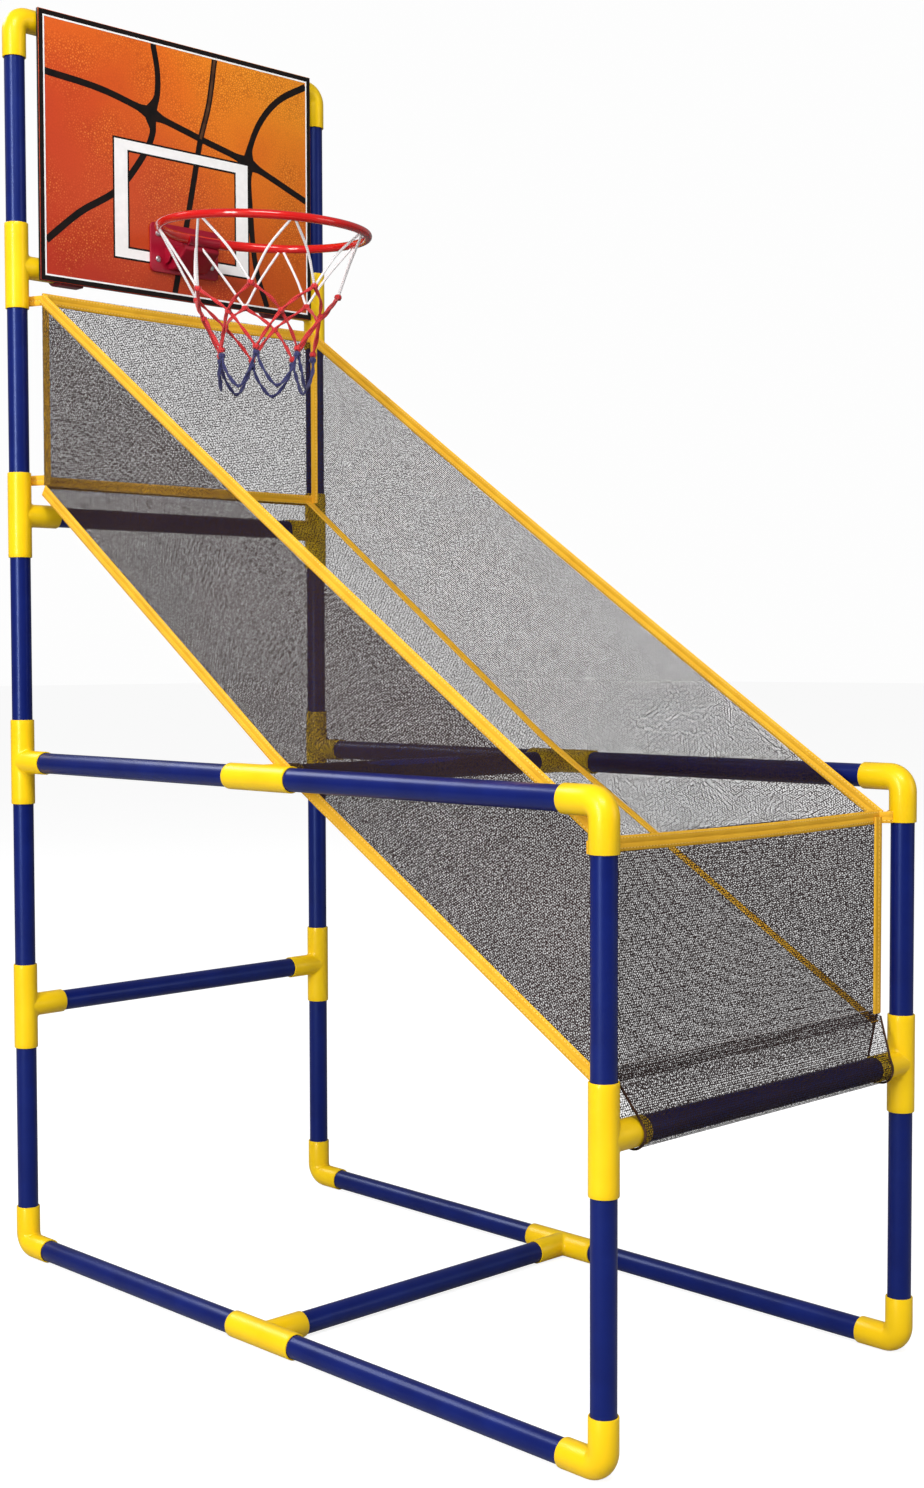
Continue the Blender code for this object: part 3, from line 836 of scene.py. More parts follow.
def build_backboard():
    low, high = box_of("backboard")
    middle = middle_of(low, high)
    half_w, half_h = (high.x - low.x) / 2, (high.z - low.z) / 2
    black = ink("print_black", (0.004, 0.003, 0.003), (0.010, 0.005, 0.004), 0.5)
    white = ink("print_white", (0.95, 0.94, 0.93), (0.90, 0.89, 0.88))
    edge = ink("board_edge", (0.010, 0.009, 0.009), (0.022, 0.020, 0.019), 0.5)
    outline = [(low.x, low.z), (high.x, low.z), (high.x, high.z), (low.x, high.z)]
    slab = bevelled("board", prism("board", outline, low.y, high.y, 1), 0.0006, 2)
    slab.materials.clear()
    slab.materials.append(ball_print(middle, half_w, half_h))
    slab.materials.append(edge)
    for face in slab.polygons:
        face.material_index = 0 if face.normal.y < -0.9 else 1
    board = keep("backboard_sheet", slab, None, "backboard_print")
    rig.replaces(board, "backboard")

    def printed(name, mesh, material):
        return keep(f"print_{name}", mesh, material, "backboard_print")

    def layer(number):
        return low.y - PRINT_LIFT * number

    def at(path):
        return [(middle.x + x, middle.z + z) for x, z in path]

    reach_x, reach_z = half_w - BORDER_WIDTH - LINE_WIDTH, half_h - BORDER_WIDTH - LINE_WIDTH
    seams = {
        "left": [(-0.042, reach_z), (-0.036, 0.112), (-0.037, 0.084), (-0.046, 0.062), (-0.044, 0.038),
                 (-0.062, 0.004), (-0.096, -0.036), (-0.146, -0.068), (-reach_x, -0.106)],
        "cross": [(-reach_x, 0.083), (-0.116, 0.077), (-0.046, 0.062), (0.027, 0.045), (0.100, 0.028),
                  (reach_x, -0.004)],
        "centre": [(0.049, reach_z), (0.040, 0.090), (0.027, 0.045), (0.016, -0.008), (0.004, -0.066),
                   (-0.013, -reach_z)],
        "right": [(reach_x, 0.139), (0.150, 0.115), (0.122, 0.086), (0.105, 0.054), (0.100, 0.028),
                  (0.102, -0.020), (0.110, -0.094), (0.128, -reach_z)],
    }
    joints = at([seams["cross"][2], seams["cross"][4]])
    for number, (name, path) in enumerate(seams.items()):
        strip = flat_strip(f"seam_{name}", at(path), SEAM_WIDTH, layer(1 + 0.2 * number), joints)
        printed(f"seam_{name}", strip, black)
    worn = ink("print_brown", (0.060, 0.022, 0.010), (0.110, 0.045, 0.018))
    printed("seam_centre_worn", flat_strip("worn", at(seams["centre"][:3]), SEAM_WIDTH * 0.45, layer(2)),
            worn)
    top, bottom = middle.z + TARGET_TOP, middle.z + TARGET_BOTTOM
    more = TARGET_OUTLINE
    printed("target_outline", frame_strip(
        "outline", TARGET_HALF + more, top + more, bottom - more, TARGET_SIDE_BAR + 2 * more,
        TARGET_FLAT_BAR + 2 * more, layer(2.5), middle.x), black)
    printed("target", frame_strip(
        "target", TARGET_HALF, top, bottom, TARGET_SIDE_BAR, TARGET_FLAT_BAR, layer(3.5), middle.x), white)
    inset = 0.0007
    printed("border", frame_strip(
        "border", half_w - inset, high.z - inset, low.z + inset, BORDER_WIDTH, BORDER_WIDTH, layer(3),
        middle.x), black)
    printed("line", frame_strip(
        "line", half_w - BORDER_WIDTH, high.z - BORDER_WIDTH, low.z + BORDER_WIDTH, LINE_WIDTH, LINE_WIDTH,
        layer(3.5), middle.x), white)


def build_clips(material):
    """Collars round the two cross tubes behind the board, flat where they meet it."""
    board_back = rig.box("backboard")[1][1]
    mouth_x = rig.box("left_rear_tee_4")[1][0]
    width, gap = 0.031, 0.0015
    for level, reach in (("upper", 0.0165), ("top", 0.0130)):
        low, high = box_of(f"rear_{level}_cross_tube")
        axis = middle_of(low, high)
        bore = (high.z - low.z) / 2 + 0.0002
        face = axis.y - board_back - 0.0002
        for name, side in (("left", -1), ("right", 1)):
            start = side * (abs(mouth_x) - gap)
            outer, inner = [], []
            for i in range(ROUND_SIDES):
                angle = i * 2 * math.pi / ROUND_SIDES
                y, z = math.cos(angle), math.sin(angle)
                if y < 0:
                    r = min(reach / max(abs(z), 1e-6), face / abs(y))
                else:
                    r = reach
                outer.append((axis.y + r * y, axis.z + r * z))
                inner.append((axis.y + bore * y, axis.z + bore * z))
            ends = (start, start - side * width)
            around = ((ends[0], outer), (ends[1], outer), (ends[1], inner), (ends[0], inner))
            rings = [[Vector((x, y, z)) for y, z in outline] for x, outline in around]
            mesh = bevelled("clip", skin("clip", rings, loop=True, sharp=30), 0.0006, 2)
            keep(f"board_clip_{level}_{name}", mesh, material, "bracket_crimson")


# --- Hoop ---------------------------------------------------------------------------------------------
class Rim:
    """The rim's centre line and frame, read from the CAD ring's box."""

    def __init__(self):
        low, high = box_of("ring")
        self.front_r, self.rear_r = 0.0048, 0.0062
        corner = 1 / math.cos(math.pi / 8)
        self.radius = (high.x - low.x) / 2 - self.front_r
        self.droop = math.radians(3.5)
        rise = self.radius * math.sin(self.droop)
        rear_y = high.y - self.rear_r
        self.centre = Vector((0.0, rear_y - self.radius * math.cos(self.droop), 0.0))
        self.centre.z = high.z - self.rear_r * corner - rise + 0.0003
        self.normal = Vector((0, -math.sin(self.droop), math.cos(self.droop)))

    def point(self, angle):
        back = Vector((0, math.cos(self.droop), math.sin(self.droop)))
        return self.centre + X * (self.radius * math.cos(angle)) + back * (self.radius * math.sin(angle))

    def section(self, angle):
        rearness = max(0.0, math.sin(angle)) ** 4
        return self.front_r + (self.rear_r - self.front_r) * rearness


def build_ring(rim, material):
    segments = 128
    rings = []
    for i in range(segments):
        angle = i * 2 * math.pi / segments
        outward = (rim.point(angle) - rim.centre).normalized()
        rings.append(circle(rim.point(angle), outward, rim.normal, rim.section(angle), 24))
    ring = keep("hoop_rim", skin("rim", rings, loop=True), material, "hoop_red")
    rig.replaces(ring, "ring")


def build_bracket(rim, material, screw_material):
    low, high = box_of("ring_bracket")
    thickness = 0.003
    front = high.y - thickness
    corner = 0.006
    outline = []
    for cx, cz, start in ((high.x - corner, high.z - corner, 0), (low.x + corner, high.z - corner, 90),
                          (low.x + corner, low.z + corner, 180), (high.x - corner, low.z + corner, 270)):
        for i in range(7):
            angle = math.radians(start + 15 * i)
            outline.append((cx + corner * math.cos(angle), cz + corner * math.sin(angle)))
    plate = bevelled("plate", prism("plate", outline, front, high.y, 1), 0.0007, 3)
    arm_half = 0.025
    arm_top = rim.point(math.pi / 2).z - rim.rear_r - 0.0006
    tip = low.y
    profile = [(front + 0.001, low.z + 0.004), (front - 0.012, low.z + 0.004), (tip, arm_top - 0.006),
               (tip, arm_top), (front + 0.001, arm_top)]
    arm = bevelled("arm", prism("arm", profile, -arm_half, arm_half, 0), 0.0018, 4)
    rib_mesh = []
    for side in (-1, 1):
        x = side * (arm_half + 0.0035)
        fin = [(front + 0.001, low.z + 0.010), (front - 0.006, low.z + 0.012),
               (front - 0.016, arm_top - 0.004), (front - 0.016, arm_top), (front + 0.001, arm_top)]
        rib_mesh.append(bevelled("fin", prism("fin", fin, x - 0.0011, x + 0.0011, 0), 0.0005, 2))
    bracket = keep("hoop_bracket", merged("bracket", [plate, arm] + rib_mesh), material, "bracket_crimson")
    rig.replaces(bracket, "ring_bracket")

    saddle = []
    span = math.asin(0.023 / rim.radius)
    for i in range(17):
        angle = math.pi / 2 - span + 2 * span * i / 16
        outward = (rim.point(angle) - rim.centre).normalized()
        section = rim.section(angle)
        profile = []
        for r in (section + 0.0018, section + 0.0001):
            turns = [math.radians(-205 + 230 * k / 16) for k in range(17)]
            turns = turns if r > section + 0.001 else turns[::-1]
            profile += [rim.point(angle) + outward * (r * math.cos(t)) + rim.normal * (r * math.sin(t))
                        for t in turns]
        saddle.append(profile)
    keep("rim_saddle", skin("saddle", saddle, caps=True), material, "bracket_crimson")

    head = screw_mesh(0.0036, 0.0020)
    for name, side in (("left", -1), ("right", 1)):
        for part, z in (("low", low.z + 0.015), ("high", high.z - 0.013)):
            place = Matrix.Translation((side * 0.0395, front, z)) @ Matrix.Rotation(math.pi / 2, 4, "X")
            keep(f"bracket_screw_{name}_{part}", head, screw_material, "bracket_crimson", place)


def screw_mesh(radius, height):
    """A pan head with a cross recess, standing on the plane z = 0."""
    dome = [(radius, 0.0), (radius, height * 0.35)]
    dome += [(radius * math.cos(a), height * (0.35 + 0.65 * math.sin(a)))
             for a in (math.radians(d) for d in (20, 40, 60, 75))]
    rings = [circle(Z * h, X, Y, r, 32) for r, h in dome]
    head = placed("head", skin("head", rings, caps=True))
    cutters = []
    for turn in (0, math.pi / 2):
        way, side = Vector((math.cos(turn), math.sin(turn), 0)), Vector((-math.sin(turn), math.cos(turn), 0))
        corners = [way * (a * radius * 0.6) + side * (b * radius * 0.13)
                   for a, b in ((-1, -1), (1, -1), (1, 1), (-1, 1))]
        rings = [[c + Z * h for c in corners] for h in (height * 0.45, height * 1.5)]
        cutter = placed("cutter", skin("cutter", rings, caps=True))
        cut = head.modifiers.new("cross", "BOOLEAN")
        cut.object = cutter
        cut.operation = "DIFFERENCE"
        cutters.append(cutter)
    mesh = bpy.data.meshes.new_from_object(head.evaluated_get(bpy.context.evaluated_depsgraph_get()))
    for helper in [head] + cutters:
        bpy.data.objects.remove(helper)
    smooth(mesh, 30)
    mesh.materials.clear()
    return mesh


# --- Hoop net -----------------------------------------------------------------------------------------
def build_net(rim):
    """Strings from the rim: white to the first knots, red crossings below, and blue loops at the foot.

    The red and blue strands are pairs of strings that turn round each other.
    """
    low, high = box_of("hoop_net")
    centre = Vector((0.0, rim.centre.y, 0.0))
    step = math.pi / NET_LOOPS
    depth = high.z - low.z

    def spot(index, radius, drop):
        """A place in the net: index counts half loops round, drop is the share of the net's depth."""
        angle = NET_FIRST_ANGLE + index * step
        place = centre + Vector((math.cos(angle), math.sin(angle), 0)) * radius
        place.z = high.z - drop * depth
        return place

    # Each string's first colour is its painted shade in the ply grooves, the second its painted highlight on the ply
    # crowns.
    white = twisted_string("string_white", (0.82, 0.77, 0.79), (0.98, 0.96, 0.95))
    red = twisted_string("string_red", (0.42, 0.004, 0.008), (0.80, 0.020, 0.022))
    blue = twisted_string("string_blue", (0.005, 0.006, 0.055), (0.032, 0.035, 0.18))
    colours = {"white": [], "red": [], "blue": []}

    def pair(colour, path, turns):
        """Two strings side by side along a path, turned round each other."""
        spread = 0.0010
        line = smooth_path(path, 14)
        ways = tangents(line)
        for start in (0.0, math.pi):
            strand = []
            for i, (point, way) in enumerate(zip(line, ways)):
                side = way.cross(Y if abs(way.y) < 0.9 else X).normalized()
                turn = start + 2 * math.pi * turns * i / (len(line) - 1)
                strand.append(point + side * (spread * math.cos(turn)) + way.cross(side) * (
                    spread * math.sin(turn)))
            colours[colour].append(string_mesh(colour, strand, STRING_R * 0.88))

    def knot(colour, place, size):
        """A wrapped knot: a few turns of string one over the other."""
        path = []
        turns, points = 3, 36
        outward = (place - Vector((centre.x, centre.y, place.z))).normalized()
        side = outward.cross(Z)
        for i in range(points + 1):
            t = i / points
            angle = 2 * math.pi * turns * t
            swell = size * (0.75 + 0.35 * math.sin(math.pi * t))
            path.append(place + outward * (swell * math.cos(angle)) + side * (swell * math.sin(angle))
                        + Z * (size * 1.6 * (0.5 - t)))
        colours[colour].append(string_mesh(colour, path, STRING_R * 0.95))

    knot_r, cross_r, low_r, foot_r = 0.0845, 0.0690, 0.0555, 0.0500
    knot_drop, cross_drop, low_drop, foot_drop = 0.395, 0.545, 0.755, 0.985
    for i in range(NET_LOOPS):
        loop = 2 * i
        angle = NET_FIRST_ANGLE + loop * step
        under = rim.point(angle) - rim.normal * (rim.section(angle) * 0.6)
        along = Vector((-math.sin(angle), math.cos(angle), 0))
        for side in (-1, 1):
            knot_at = spot(loop + side, knot_r, knot_drop)
            bow = spot(loop + 0.52 * side, (rim.radius + knot_r) / 2 - 0.003, knot_drop * 0.52)
            start = under + along * (0.0024 * side)
            path = smooth_path([start, bow, knot_at])
            colours["white"].append(string_mesh("white", path, STRING_R * 1.12))
            cross_at = spot(loop, cross_r + 0.0016 * side, cross_drop)
            down_to = spot(loop - side, low_r, low_drop)
            first = spot(loop + 0.45 * side, (knot_r + cross_r) / 2, (knot_drop + cross_drop) / 2)
            second = spot(loop - 0.5 * side, (cross_r + low_r) / 2 - 0.001, (cross_drop + low_drop) / 2)
            pair("red", [knot_at, first, cross_at, second, down_to], 2.0)
        knot("red", spot(loop + 1, knot_r, knot_drop), 0.0030)
        knot("red", spot(loop, cross_r, cross_drop), 0.0026)
        knot("red", spot(loop + 1, low_r, low_drop), 0.0028)
        knot("blue", spot(loop + 1, low_r - 0.0005, low_drop + 0.035), 0.0028)
        a, b = spot(loop + 1, low_r, low_drop + 0.02), spot(loop + 3, low_r, low_drop + 0.02)
        bottom = spot(loop + 2, foot_r, foot_drop)
        left = spot(loop + 1.30, low_r - 0.001, foot_drop - 0.10)
        right = spot(loop + 2.70, low_r - 0.001, foot_drop - 0.10)
        pair("blue", [a, left, bottom, right, b], 3.0)
    for colour, material in (("white", white), ("red", red), ("blue", blue)):
        mesh = merged(f"net_{colour}", colours[colour])
        mesh.materials.clear()
        piece = keep(f"net_strings_{colour}", mesh, material, "net_string")
        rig.replaces(piece, "hoop_net")


# --- Return bag ---------------------------------------------------------------------------------------
class Bag:
    """The bag's corners and its ramp line, read from the CAD panels."""

    def __init__(self):
        low, high = box_of("bag_left")
        back_low, back_high = box_of("bag_back")
        front_high = Vector(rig.box("bag_front")[1])
        rail_low, rail_high = box_of("rail_cross_tube")
        self.half = abs(low.x) - 0.0008
        self.rear, self.front = high.y - 0.0008, low.y + 0.0008
        self.rear_top, self.rear_bottom = back_high.z, back_low.z
        self.front_top, self.front_bottom = front_high.z, low.z
        self.rest_y = (rail_low.y + rail_high.y) / 2
        self.rest_z = rail_high.z + 0.0105
        self.rail_top = rail_high.z

    def y(self, t):
        """t is 0 at the rear and 1 at the front."""
        return self.rear + (self.front - self.rear) * t

    def top(self, t):
        sag = 0.004 * math.sin(math.pi * t)
        return self.rear_top + (self.front_top - self.rear_top) * t - sag

    def ramp(self, t):
        y = self.y(t)
        if y > self.rest_y:
            part = (self.rear - y) / (self.rear - self.rest_y)
            return self.rear_bottom + (self.rest_z - self.rear_bottom) * part
        part = (self.rest_y - y) / (self.rest_y - self.front)
        return self.rest_z + (self.front_bottom - self.rest_z) * part

    def floor_sag(self, t):
        """How far the middle of the ramp hangs below its sides. It lies on the cross tube on the way."""
        y = self.y(t)
        on_tube = self.rest_z - self.rail_top - 0.0006
        if y > self.rest_y:
            part = (self.rear - y) / (self.rear - self.rest_y)
            return on_tube * part + 0.012 * math.sin(math.pi * part) ** 1.2
        part = (self.rest_y - y) / (self.rest_y - self.front)
        return on_tube * (1 - part) + 0.007 * math.sin(math.pi * part) ** 1.2


def ripple(point, size, scale=9.0):
    """A small smooth unevenness of pulled cloth."""
    return noise.noise(Vector(point) * scale) * size


def cloth_grid(name, rows, uv_rows):
    """An open sheet through rows of points, with its own UV in metres."""
    width = len(rows[0])
    points = [tuple(p) for row in rows for p in row]
    flat_uv = [uv for row in uv_rows for uv in row]
    faces = []
    for r in range(len(rows) - 1):
        for i in range(width - 1):
            a = r * width + i
            faces.append((a, a + 1, a + width + 1, a + width))
    mesh = bpy.data.meshes.new(name)
    mesh.from_pydata(points, [], faces)
    layer = mesh.uv_layers.new(name="UVMap")
    for loop in mesh.loops:
        layer.data[loop.index].uv = flat_uv[loop.vertex_index]
    mesh.shade_smooth()
    return mesh


def turned(u, v, angle):
    return (u * math.cos(angle) - v * math.sin(angle), u * math.sin(angle) + v * math.cos(angle))


def panel(name, grid, cloth):
    """A cloth panel in the place of the CAD one."""
    piece = keep(f"bag_{name}_cloth", grid, cloth, "bag_mesh")
    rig.replaces(piece, f"bag_{name}")
    return piece


def side_panel(bag, cloth, name, side):
    rise, run = bag.rear_top - bag.front_top, bag.rear - bag.front
    slope, length = math.atan2(rise, run), math.hypot(rise, run)
    steps_t, steps_s = LENGTH_STEPS, 18
    rows, uv_rows = [], []
    for i in range(steps_t + 1):
        t = i / steps_t
        row, uv_row = [], []
        for j in range(steps_s + 1):
            s = j / steps_s
            y, z = bag.y(t), bag.ramp(t) + (bag.top(t) - bag.ramp(t)) * s
            belly = math.sin(math.pi * s) * math.sin(math.pi * t) ** 0.5
            x = side * (bag.half + 0.0015 * belly + ripple((y, z, side), 0.0022) * belly)
            row.append(Vector((x, y, z)))
            uv_row.append(turned(y, z, -slope))
        rows.append(row)
        uv_rows.append(uv_row)
    height = (bag.rear_top - bag.rear_bottom) * math.cos(slope)
    return panel(name, cloth_grid("side", rows, uv_rows), cloth), {
        "flat": (length + 0.02, height + 0.02), "held": "stretched", "area": length * height * 0.99}


def floor_panel(bag, cloth):
    rows, uv_rows = [], []
    run = 0.0
    for i in range(LENGTH_STEPS + 1):
        t = i / LENGTH_STEPS
        y = bag.y(t)
        row = []
        for j in range(WIDTH_STEPS + 1):
            s = 2 * j / WIDTH_STEPS - 1
            x = s * bag.half
            z = bag.ramp(t) - bag.floor_sag(t) * (1 - s * s) + ripple((x, y, 5), 0.0015) * (1 - s ** 4)
            if abs(y - bag.rest_y) < 0.008:
                z = max(z, bag.rail_top + 0.0006)
            row.append(Vector((x, y, z)))
        if rows:
            run += (row[0] - rows[-1][0]).length
        rows.append(row)
        uv_rows.append([(p.x, run) for p in row])
    return panel("floor", cloth_grid("floor", rows, uv_rows), cloth), {
        "flat": (2 * bag.half, run), "held": "stretched"}


def back_panel(bag, cloth):
    height = bag.rear_top - bag.rear_bottom
    rows, uv_rows = [], []
    for i in range(15):
        s = i / 14
        z = bag.rear_bottom + height * s
        row = []
        for j in range(WIDTH_STEPS + 1):
            x = bag.half * (2 * j / WIDTH_STEPS - 1)
            belly = math.sin(math.pi * s) * math.sin(math.pi * j / WIDTH_STEPS)
            row.append(Vector((x, bag.rear - 0.0015 * belly + ripple((x, 3, z), 0.0016) * belly, z)))
        rows.append(row)
        uv_rows.append([(p.x, p.z) for p in row])
    return panel("back", cloth_grid("back", rows, uv_rows), cloth), {
        "flat": (2 * bag.half, height), "held": "hung"}


def build_bag(cloth, tape):
    """The five panels, what is sewn to them, and last what each sheet is and which pieces are on it."""
    bag = Bag()
    sheets = [(side_panel(bag, cloth, "left", -1), ("tape_left", "tie_left")),
              (side_panel(bag, cloth, "right", 1), ("tape_right", "tie_right")),
              (floor_panel(bag, cloth), ()),
              (back_panel(bag, cloth), ("tape_back",)),
              (front_panel(bag, cloth), ("tape_front", "hem_stitches", "sleeve_edge"))]
    build_tapes(bag, tape)
    build_ties(bag, tape)
    for (piece, facts), starts in sheets:
        on_it = sorted(o.name for o in bpy.data.objects if o.name.startswith(starts))
        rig.sheet(piece, with_pieces=on_it, **facts)


def sleeve_path(bag):
    """The front panel's line in YZ: down from its top edge, round the front cross tube and back up to
    the stitch line. Returns (y, z, half width) stations."""
    axis = middle_of(*box_of("front_cross_tube"))
    tee_low, tee_high = box_of("left_front_tee")
    port_r = (tee_high.y - tee_low.y) / 2
    reach = port_r + SLEEVE_GAP
    hem_z = axis.z + HEM_RISE
    stations = []
    for i in range(11):
        t = i / 10
        stations.append((bag.front, bag.front_top + (hem_z - bag.front_top) * t, bag.half))
    hang = hem_z - axis.z
    lead = math.acos(reach / hang)

    def width_at(z):
        t = min(1.0, max(0.0, (hem_z - z) / (hem_z - axis.z - reach * 0.5)))
        return bag.half + (SLEEVE_HALF - bag.half) * t

    start = math.pi / 2 + lead
    end = 2 * math.pi + math.pi / 2 - lead
    tangent_front = (axis.y + reach * math.cos(start), axis.z + reach * math.sin(start))
    for i in range(1, 7):
        t = i / 7
        y = bag.front + (tangent_front[0] - bag.front) * t
        z = hem_z + (tangent_front[1] - hem_z) * t
        stations.append((y, z, width_at(z)))
    for i in range(25):
        angle = start + (end - start) * i / 24
        z = axis.z + reach * math.sin(angle)
        stations.append((axis.y + reach * math.cos(angle), z, width_at(z)))
    tangent_rear = stations[-1]
    for i in range(1, 8):
        t = i / 7
        y = tangent_rear[0] + (bag.front + 0.0008 - tangent_rear[0]) * t
        z = tangent_rear[1] + (hem_z - tangent_rear[1]) * t
        stations.append((y, z, width_at(z)))
    return stations, hem_z


def front_panel(bag, cloth):
    stations, hem_z = sleeve_path(bag)
    rows, uv_rows = [], []
    run = 0.0
    for y, z, half in stations:
        inside = max(0.0, math.sin(math.pi * (bag.front_top - z) / (bag.front_top - hem_z)))
        row = []
        for j in range(33):
            s = 2 * j / 32 - 1
            belly = inside * (1 - s ** 4) if z > hem_z else 0.0
            row.append(Vector((s * half, y - 0.002 * belly + ripple((s, 7, z), 0.0018) * belly, z)))
        if rows:
            run += (row[16] - rows[-1][16]).length
        rows.append(row)
        uv_rows.append([(p.x, run) for p in row])
    return panel("front", cloth_grid("front", rows, uv_rows), cloth), {
        "flat": (2 * bag.half, run), "held": "stretched", "rests_on": ["front_cross_tube"]}


def ribbon(name, path, across, width=TAPE, thick=TAPE_THICK):
    """A flat tape along a path with eased edges and a shallow groove down the middle of each face."""
    half, t = width / 2, thick / 2
    face = [(-0.94, 0.86), (-0.55, 1.0), (-0.10, 0.92), (0.0, 0.45), (0.10, 0.92), (0.55, 1.0), (0.94, 0.86)]
    section = [(a * half, n * t) for a, n in face] + [(half, 0.0)]
    section += [(-a * half, -n * t) for a, n in face] + [(-half, 0.0)]
    rings = []
    for point, way in zip(path, tangents(path)):
        side = (across - way * across.dot(way)).normalized()
        normal = way.cross(side)
        rings.append([point + side * a + normal * n for a, n in section])
    return skin(name, rings, caps=True, sharp=60)


def build_tapes(bag, tape):
    """Binding tape along the open top edges, the four upright corners and the two sides of the ramp.

    The ramp's left seam is bound on the outside of the bag, its right one is folded in over the ramp.
    The right front corner is bound on the front, the left one on the side.
    """
    lines = [i / 48 for i in range(49)]

    def add(name, path, across, width=TAPE):
        return keep(f"tape_{name}", ribbon(name, path, across, width), tape, "bag_mesh")

    for name, side in (("left", -1), ("right", 1)):
        x = side * (bag.half + 0.0002)
        along_top = [Vector((x, bag.y(t), bag.top(t))) for t in lines]
        inset = [p + Vector((0, 0, -TAPE * 0.42)) for p in along_top]
        add(f"{name}_top", inset, Z)
        along_ramp = [Vector((x, bag.y(t), bag.ramp(t))) for t in lines]
        if side < 0:
            hung = [p + Vector((0, 0, -TAPE * 0.40)) for p in along_ramp]
            add(f"{name}_ramp", hung, Z, TAPE)
        else:
            folded = [p + Vector((-SEAM_TAPE * 0.5, 0, 0.0016)) for p in along_ramp]
            add(f"{name}_ramp", folded, X, SEAM_TAPE)
        rear = [Vector((x - side * 0.0012, bag.rear - SEAM_TAPE * 0.5, bag.rear_bottom + (
            bag.rear_top - bag.rear_bottom - 0.004) * t)) for t in lines]
        add(f"{name}_rear_corner", rear, Y, SEAM_TAPE)
        if side < 0:
            corner, across = Vector((x - side * 0.0012, bag.front + SEAM_TAPE * 0.5, 0)), Y
        else:
            corner, across = Vector((x - SEAM_TAPE * 0.5, bag.front - TAPE_THICK - 0.0003, 0)), X
        low, high = bag.front_bottom + 0.010, bag.front_top - 0.006
        add(f"{name}_front_corner", [corner + Z * (low + (high - low) * t) for t in lines], across, SEAM_TAPE)
    half = bag.half - 0.001
    for name, y, z in (("back_top", bag.rear, bag.rear_top - TAPE * 0.45),
                       ("back_bottom", bag.rear - 0.0012, bag.rear_bottom + SEAM_TAPE * 0.25),
                       ("front_top", bag.front, bag.front_top - TAPE * 0.45)):
        sag = 0.002 if name != "back_bottom" else 0.0
        path = [Vector(((2 * t - 1) * half, y, z - sag * math.sin(math.pi * t))) for t in lines]
        add(name, path, Z, TAPE)
    stations, hem_z = sleeve_path(bag)
    stitches = []
    count = 86
    for row in (0.0, -0.0045):
        for i in range(count):
            x = (2 * (i + 0.5) / count - 1) * (half - 0.006)
            start = Vector((x - 0.0014, bag.front - 0.0006, hem_z + row))
            stitches.append(string_mesh("stitch", [start, start + Vector((0.0014, -0.0004, 0)),
                                                   start + Vector((0.0028, 0, 0))], 0.00035, 5))
    thread = ink("hem_thread", (0.40, 0.36, 0.36), (0.62, 0.58, 0.56), 0.7)
    keep("hem_stitches", merged("hem_stitches", stitches), thread, "bag_mesh")
    overlock = ink("sleeve_overlock", (0.030, 0.014, 0.010), (0.075, 0.036, 0.022), 0.8)
    start = next(i for i, (_, z, _) in enumerate(stations) if z < hem_z - 0.004)
    for name, side in (("left", -1), ("right", 1)):
        edge = [Vector((side * half_at, y, z)) for y, z, half_at in stations[start:]]
        keep(f"sleeve_edge_{name}", string_mesh("edge", edge, 0.0011, 8), overlock, "bag_mesh")


def build_ties(bag, tape):
    """Short tapes that reach from the bag's corners round the back of the uprights and legs."""
    for name, side in (("left", -1), ("right", 1)):
        upright = middle_of(*box_of(f"{name}_upright_tube_1"))
        leg = middle_of(*box_of(f"{name}_leg_tube_1"))
        low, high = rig.box(f"{name}_rear_tee_4")
        wrap = (high[1] - low[1]) / 2 + 0.0011
        spots = (("rear_top", upright, bag.rear_top - TAPE * 0.55, bag.rear),
                 ("rear_low", upright, bag.rear_bottom + TAPE * 0.45, bag.rear),
                 ("front_top", leg, bag.front_top - TAPE * 0.5, bag.front))
        for part, post, z, y in spots:
            path = [Vector((side * (bag.half - 0.002), y, z))]
            for i in range(15):
                angle = math.radians(TIE_START + i * TIE_WRAP / 14)
                x = post.x - side * wrap * math.cos(angle)
                path.append(Vector((x, post.y + wrap * math.sin(angle), z)))
            mesh = ribbon("tie", smooth_path(path, 3), Z, TAPE * 0.85, TIE_THICK)
            keep(f"tie_{name}_{part}", mesh, tape, "bag_mesh")


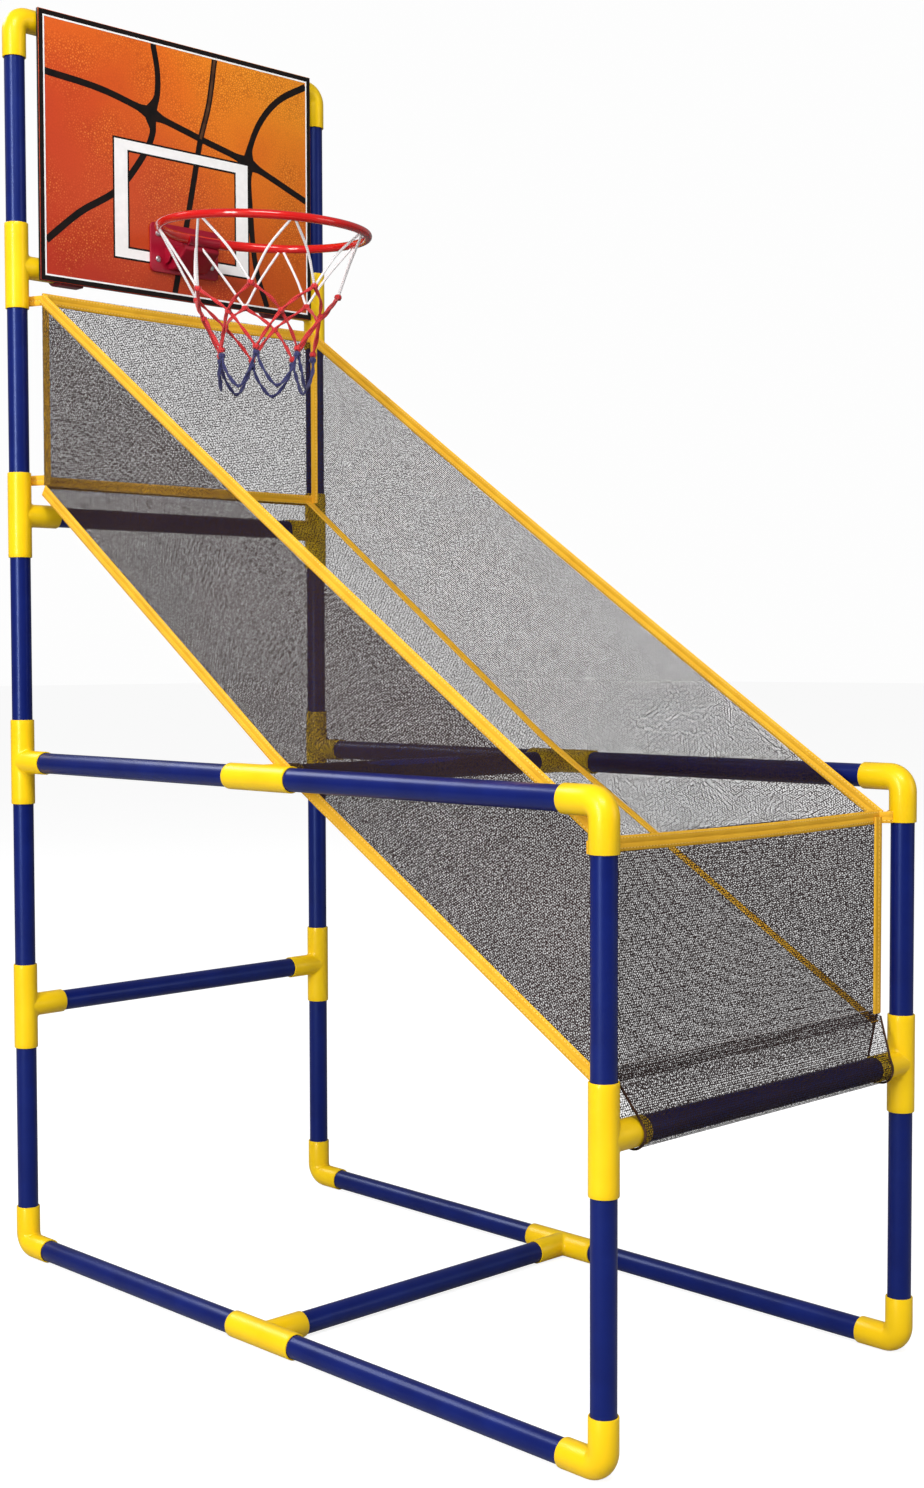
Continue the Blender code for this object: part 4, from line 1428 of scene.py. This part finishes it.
# --- Studio -------------------------------------------------------------------------------------------
def build_studio():
    """A pale floor, a white room and soft lamps from the front left and above.

    The room is white to look at and dimmer as a light, so that the lamps shape the tubes.
    """
    floor_mesh = bpy.data.meshes.new("floor")
    size = 40.0
    floor_mesh.from_pydata([(-size, -size, 0), (size, -size, 0), (size, size, 0), (-size, size, 0)], [],
                           [(0, 1, 2, 3)])
    floor = placed("studio_floor", floor_mesh)
    floor.location.z = -0.0002
    look = Look("studio_floor")
    look.set(Base_Color=look.blend(look.noise(look.place(), 3.0), (0.36, 0.36, 0.36), (0.39, 0.39, 0.39)))
    seen = look.node("LightPath").outputs["Is Camera Ray"]
    look.set(Roughness=0.9, Specular_IOR_Level=0.0, Emission_Color=(1.0, 1.0, 1.0))
    look.set(Emission_Strength=look.mul(seen, FLOOR_GLOW))
    floor_mesh.materials.append(look.material)
    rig.stage(floor)

    world = bpy.data.worlds.new("studio")
    bpy.context.scene.world = world
    world.use_nodes = True
    nodes, links = world.node_tree.nodes, world.node_tree.links
    seen = nodes.new("ShaderNodeLightPath")
    strength = nodes.new("ShaderNodeMapRange")
    strength.inputs["To Min"].default_value = ROOM_LIGHT
    strength.inputs["To Max"].default_value = ROOM_WHITE
    links.new(seen.outputs["Is Camera Ray"], strength.inputs["Value"])
    links.new(strength.outputs[0], nodes["Background"].inputs["Strength"])
    nodes["Background"].inputs["Color"].default_value = (1.0, 1.0, 1.0, 1.0)

    for name, place, energy, width, height in LAMPS:
        lamp = bpy.data.lights.new(name, "AREA")
        lamp.energy = energy
        lamp.shape = "RECTANGLE"
        lamp.size = width
        lamp.size_y = height
        lamp_object = placed(name, lamp)
        lamp_object.location = place
        aim = Vector((0, 0, 0.7)) - Vector(place)
        lamp_object.rotation_euler = aim.to_track_quat("-Z", "Y").to_euler()
    bpy.context.scene.view_settings.view_transform = "Standard"


def build_camera():
    """The viewpoint: ahead of the machine on its left, a little under half its height."""
    camera = bpy.data.cameras.new("camera")
    camera.lens = 47.68
    camera.sensor_width = 36.0
    camera.shift_x = 0.0205
    camera.shift_y = 0.0003
    camera_object = placed("camera", camera)
    camera_object.location = (-1.4372, -1.5074, 0.6890)
    pitch, yaw, roll = math.radians(-2.566), math.radians(-43.738), math.radians(-0.172)
    turn = Matrix.Rotation(yaw, 4, "Z") @ Matrix.Rotation(math.pi / 2 + pitch, 4, "X") @ Matrix.Rotation(
        roll, 4, "Z")
    camera_object.rotation_euler = turn.to_euler()
    bpy.context.scene.camera = camera_object


def main():
    build_camera()
    build_studio()
    blue = moulded("tube_plastic", (0.0022, 0.0062, 0.092), (0.0034, 0.0105, 0.128), 0.33, (0.35, 0.50, 1.0),
                   along=True)
    yellow = moulded("connector_plastic", (0.91, 0.56, 0.003), (0.95, 0.62, 0.006), 0.33, (1.0, 0.85, 0.45))
    red = moulded("hoop_plastic", (0.56, 0.003, 0.004), (0.68, 0.007, 0.006), 0.20, (1.0, 0.6, 0.5), coat=0.8)
    crimson = moulded("bracket_plastic", (0.25, 0.002, 0.014), (0.33, 0.004, 0.024), 0.36, (1.0, 0.5, 0.5))
    clip_plastic = moulded("clip_plastic", (0.11, 0.004, 0.008), (0.15, 0.006, 0.012), 0.42, (1.0, 0.6, 0.6))
    for name in frame["nodes"]:
        if "_tube" in name:
            build_tube(name, blue)
    build_connectors(yellow)
    build_backboard()
    build_clips(clip_plastic)
    rim = Rim()
    build_ring(rim, red)
    build_bracket(rim, crimson, zinc())
    build_net(rim)
    build_bag(mesh_cloth(), edge_tape())


main()
SHOWN_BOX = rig.bounds()
with open("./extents.json", "w") as file:
    json.dump({"cad": [list(c) for c in CAD_BOX], "shown": [list(c) for c in SHOWN_BOX]}, file)
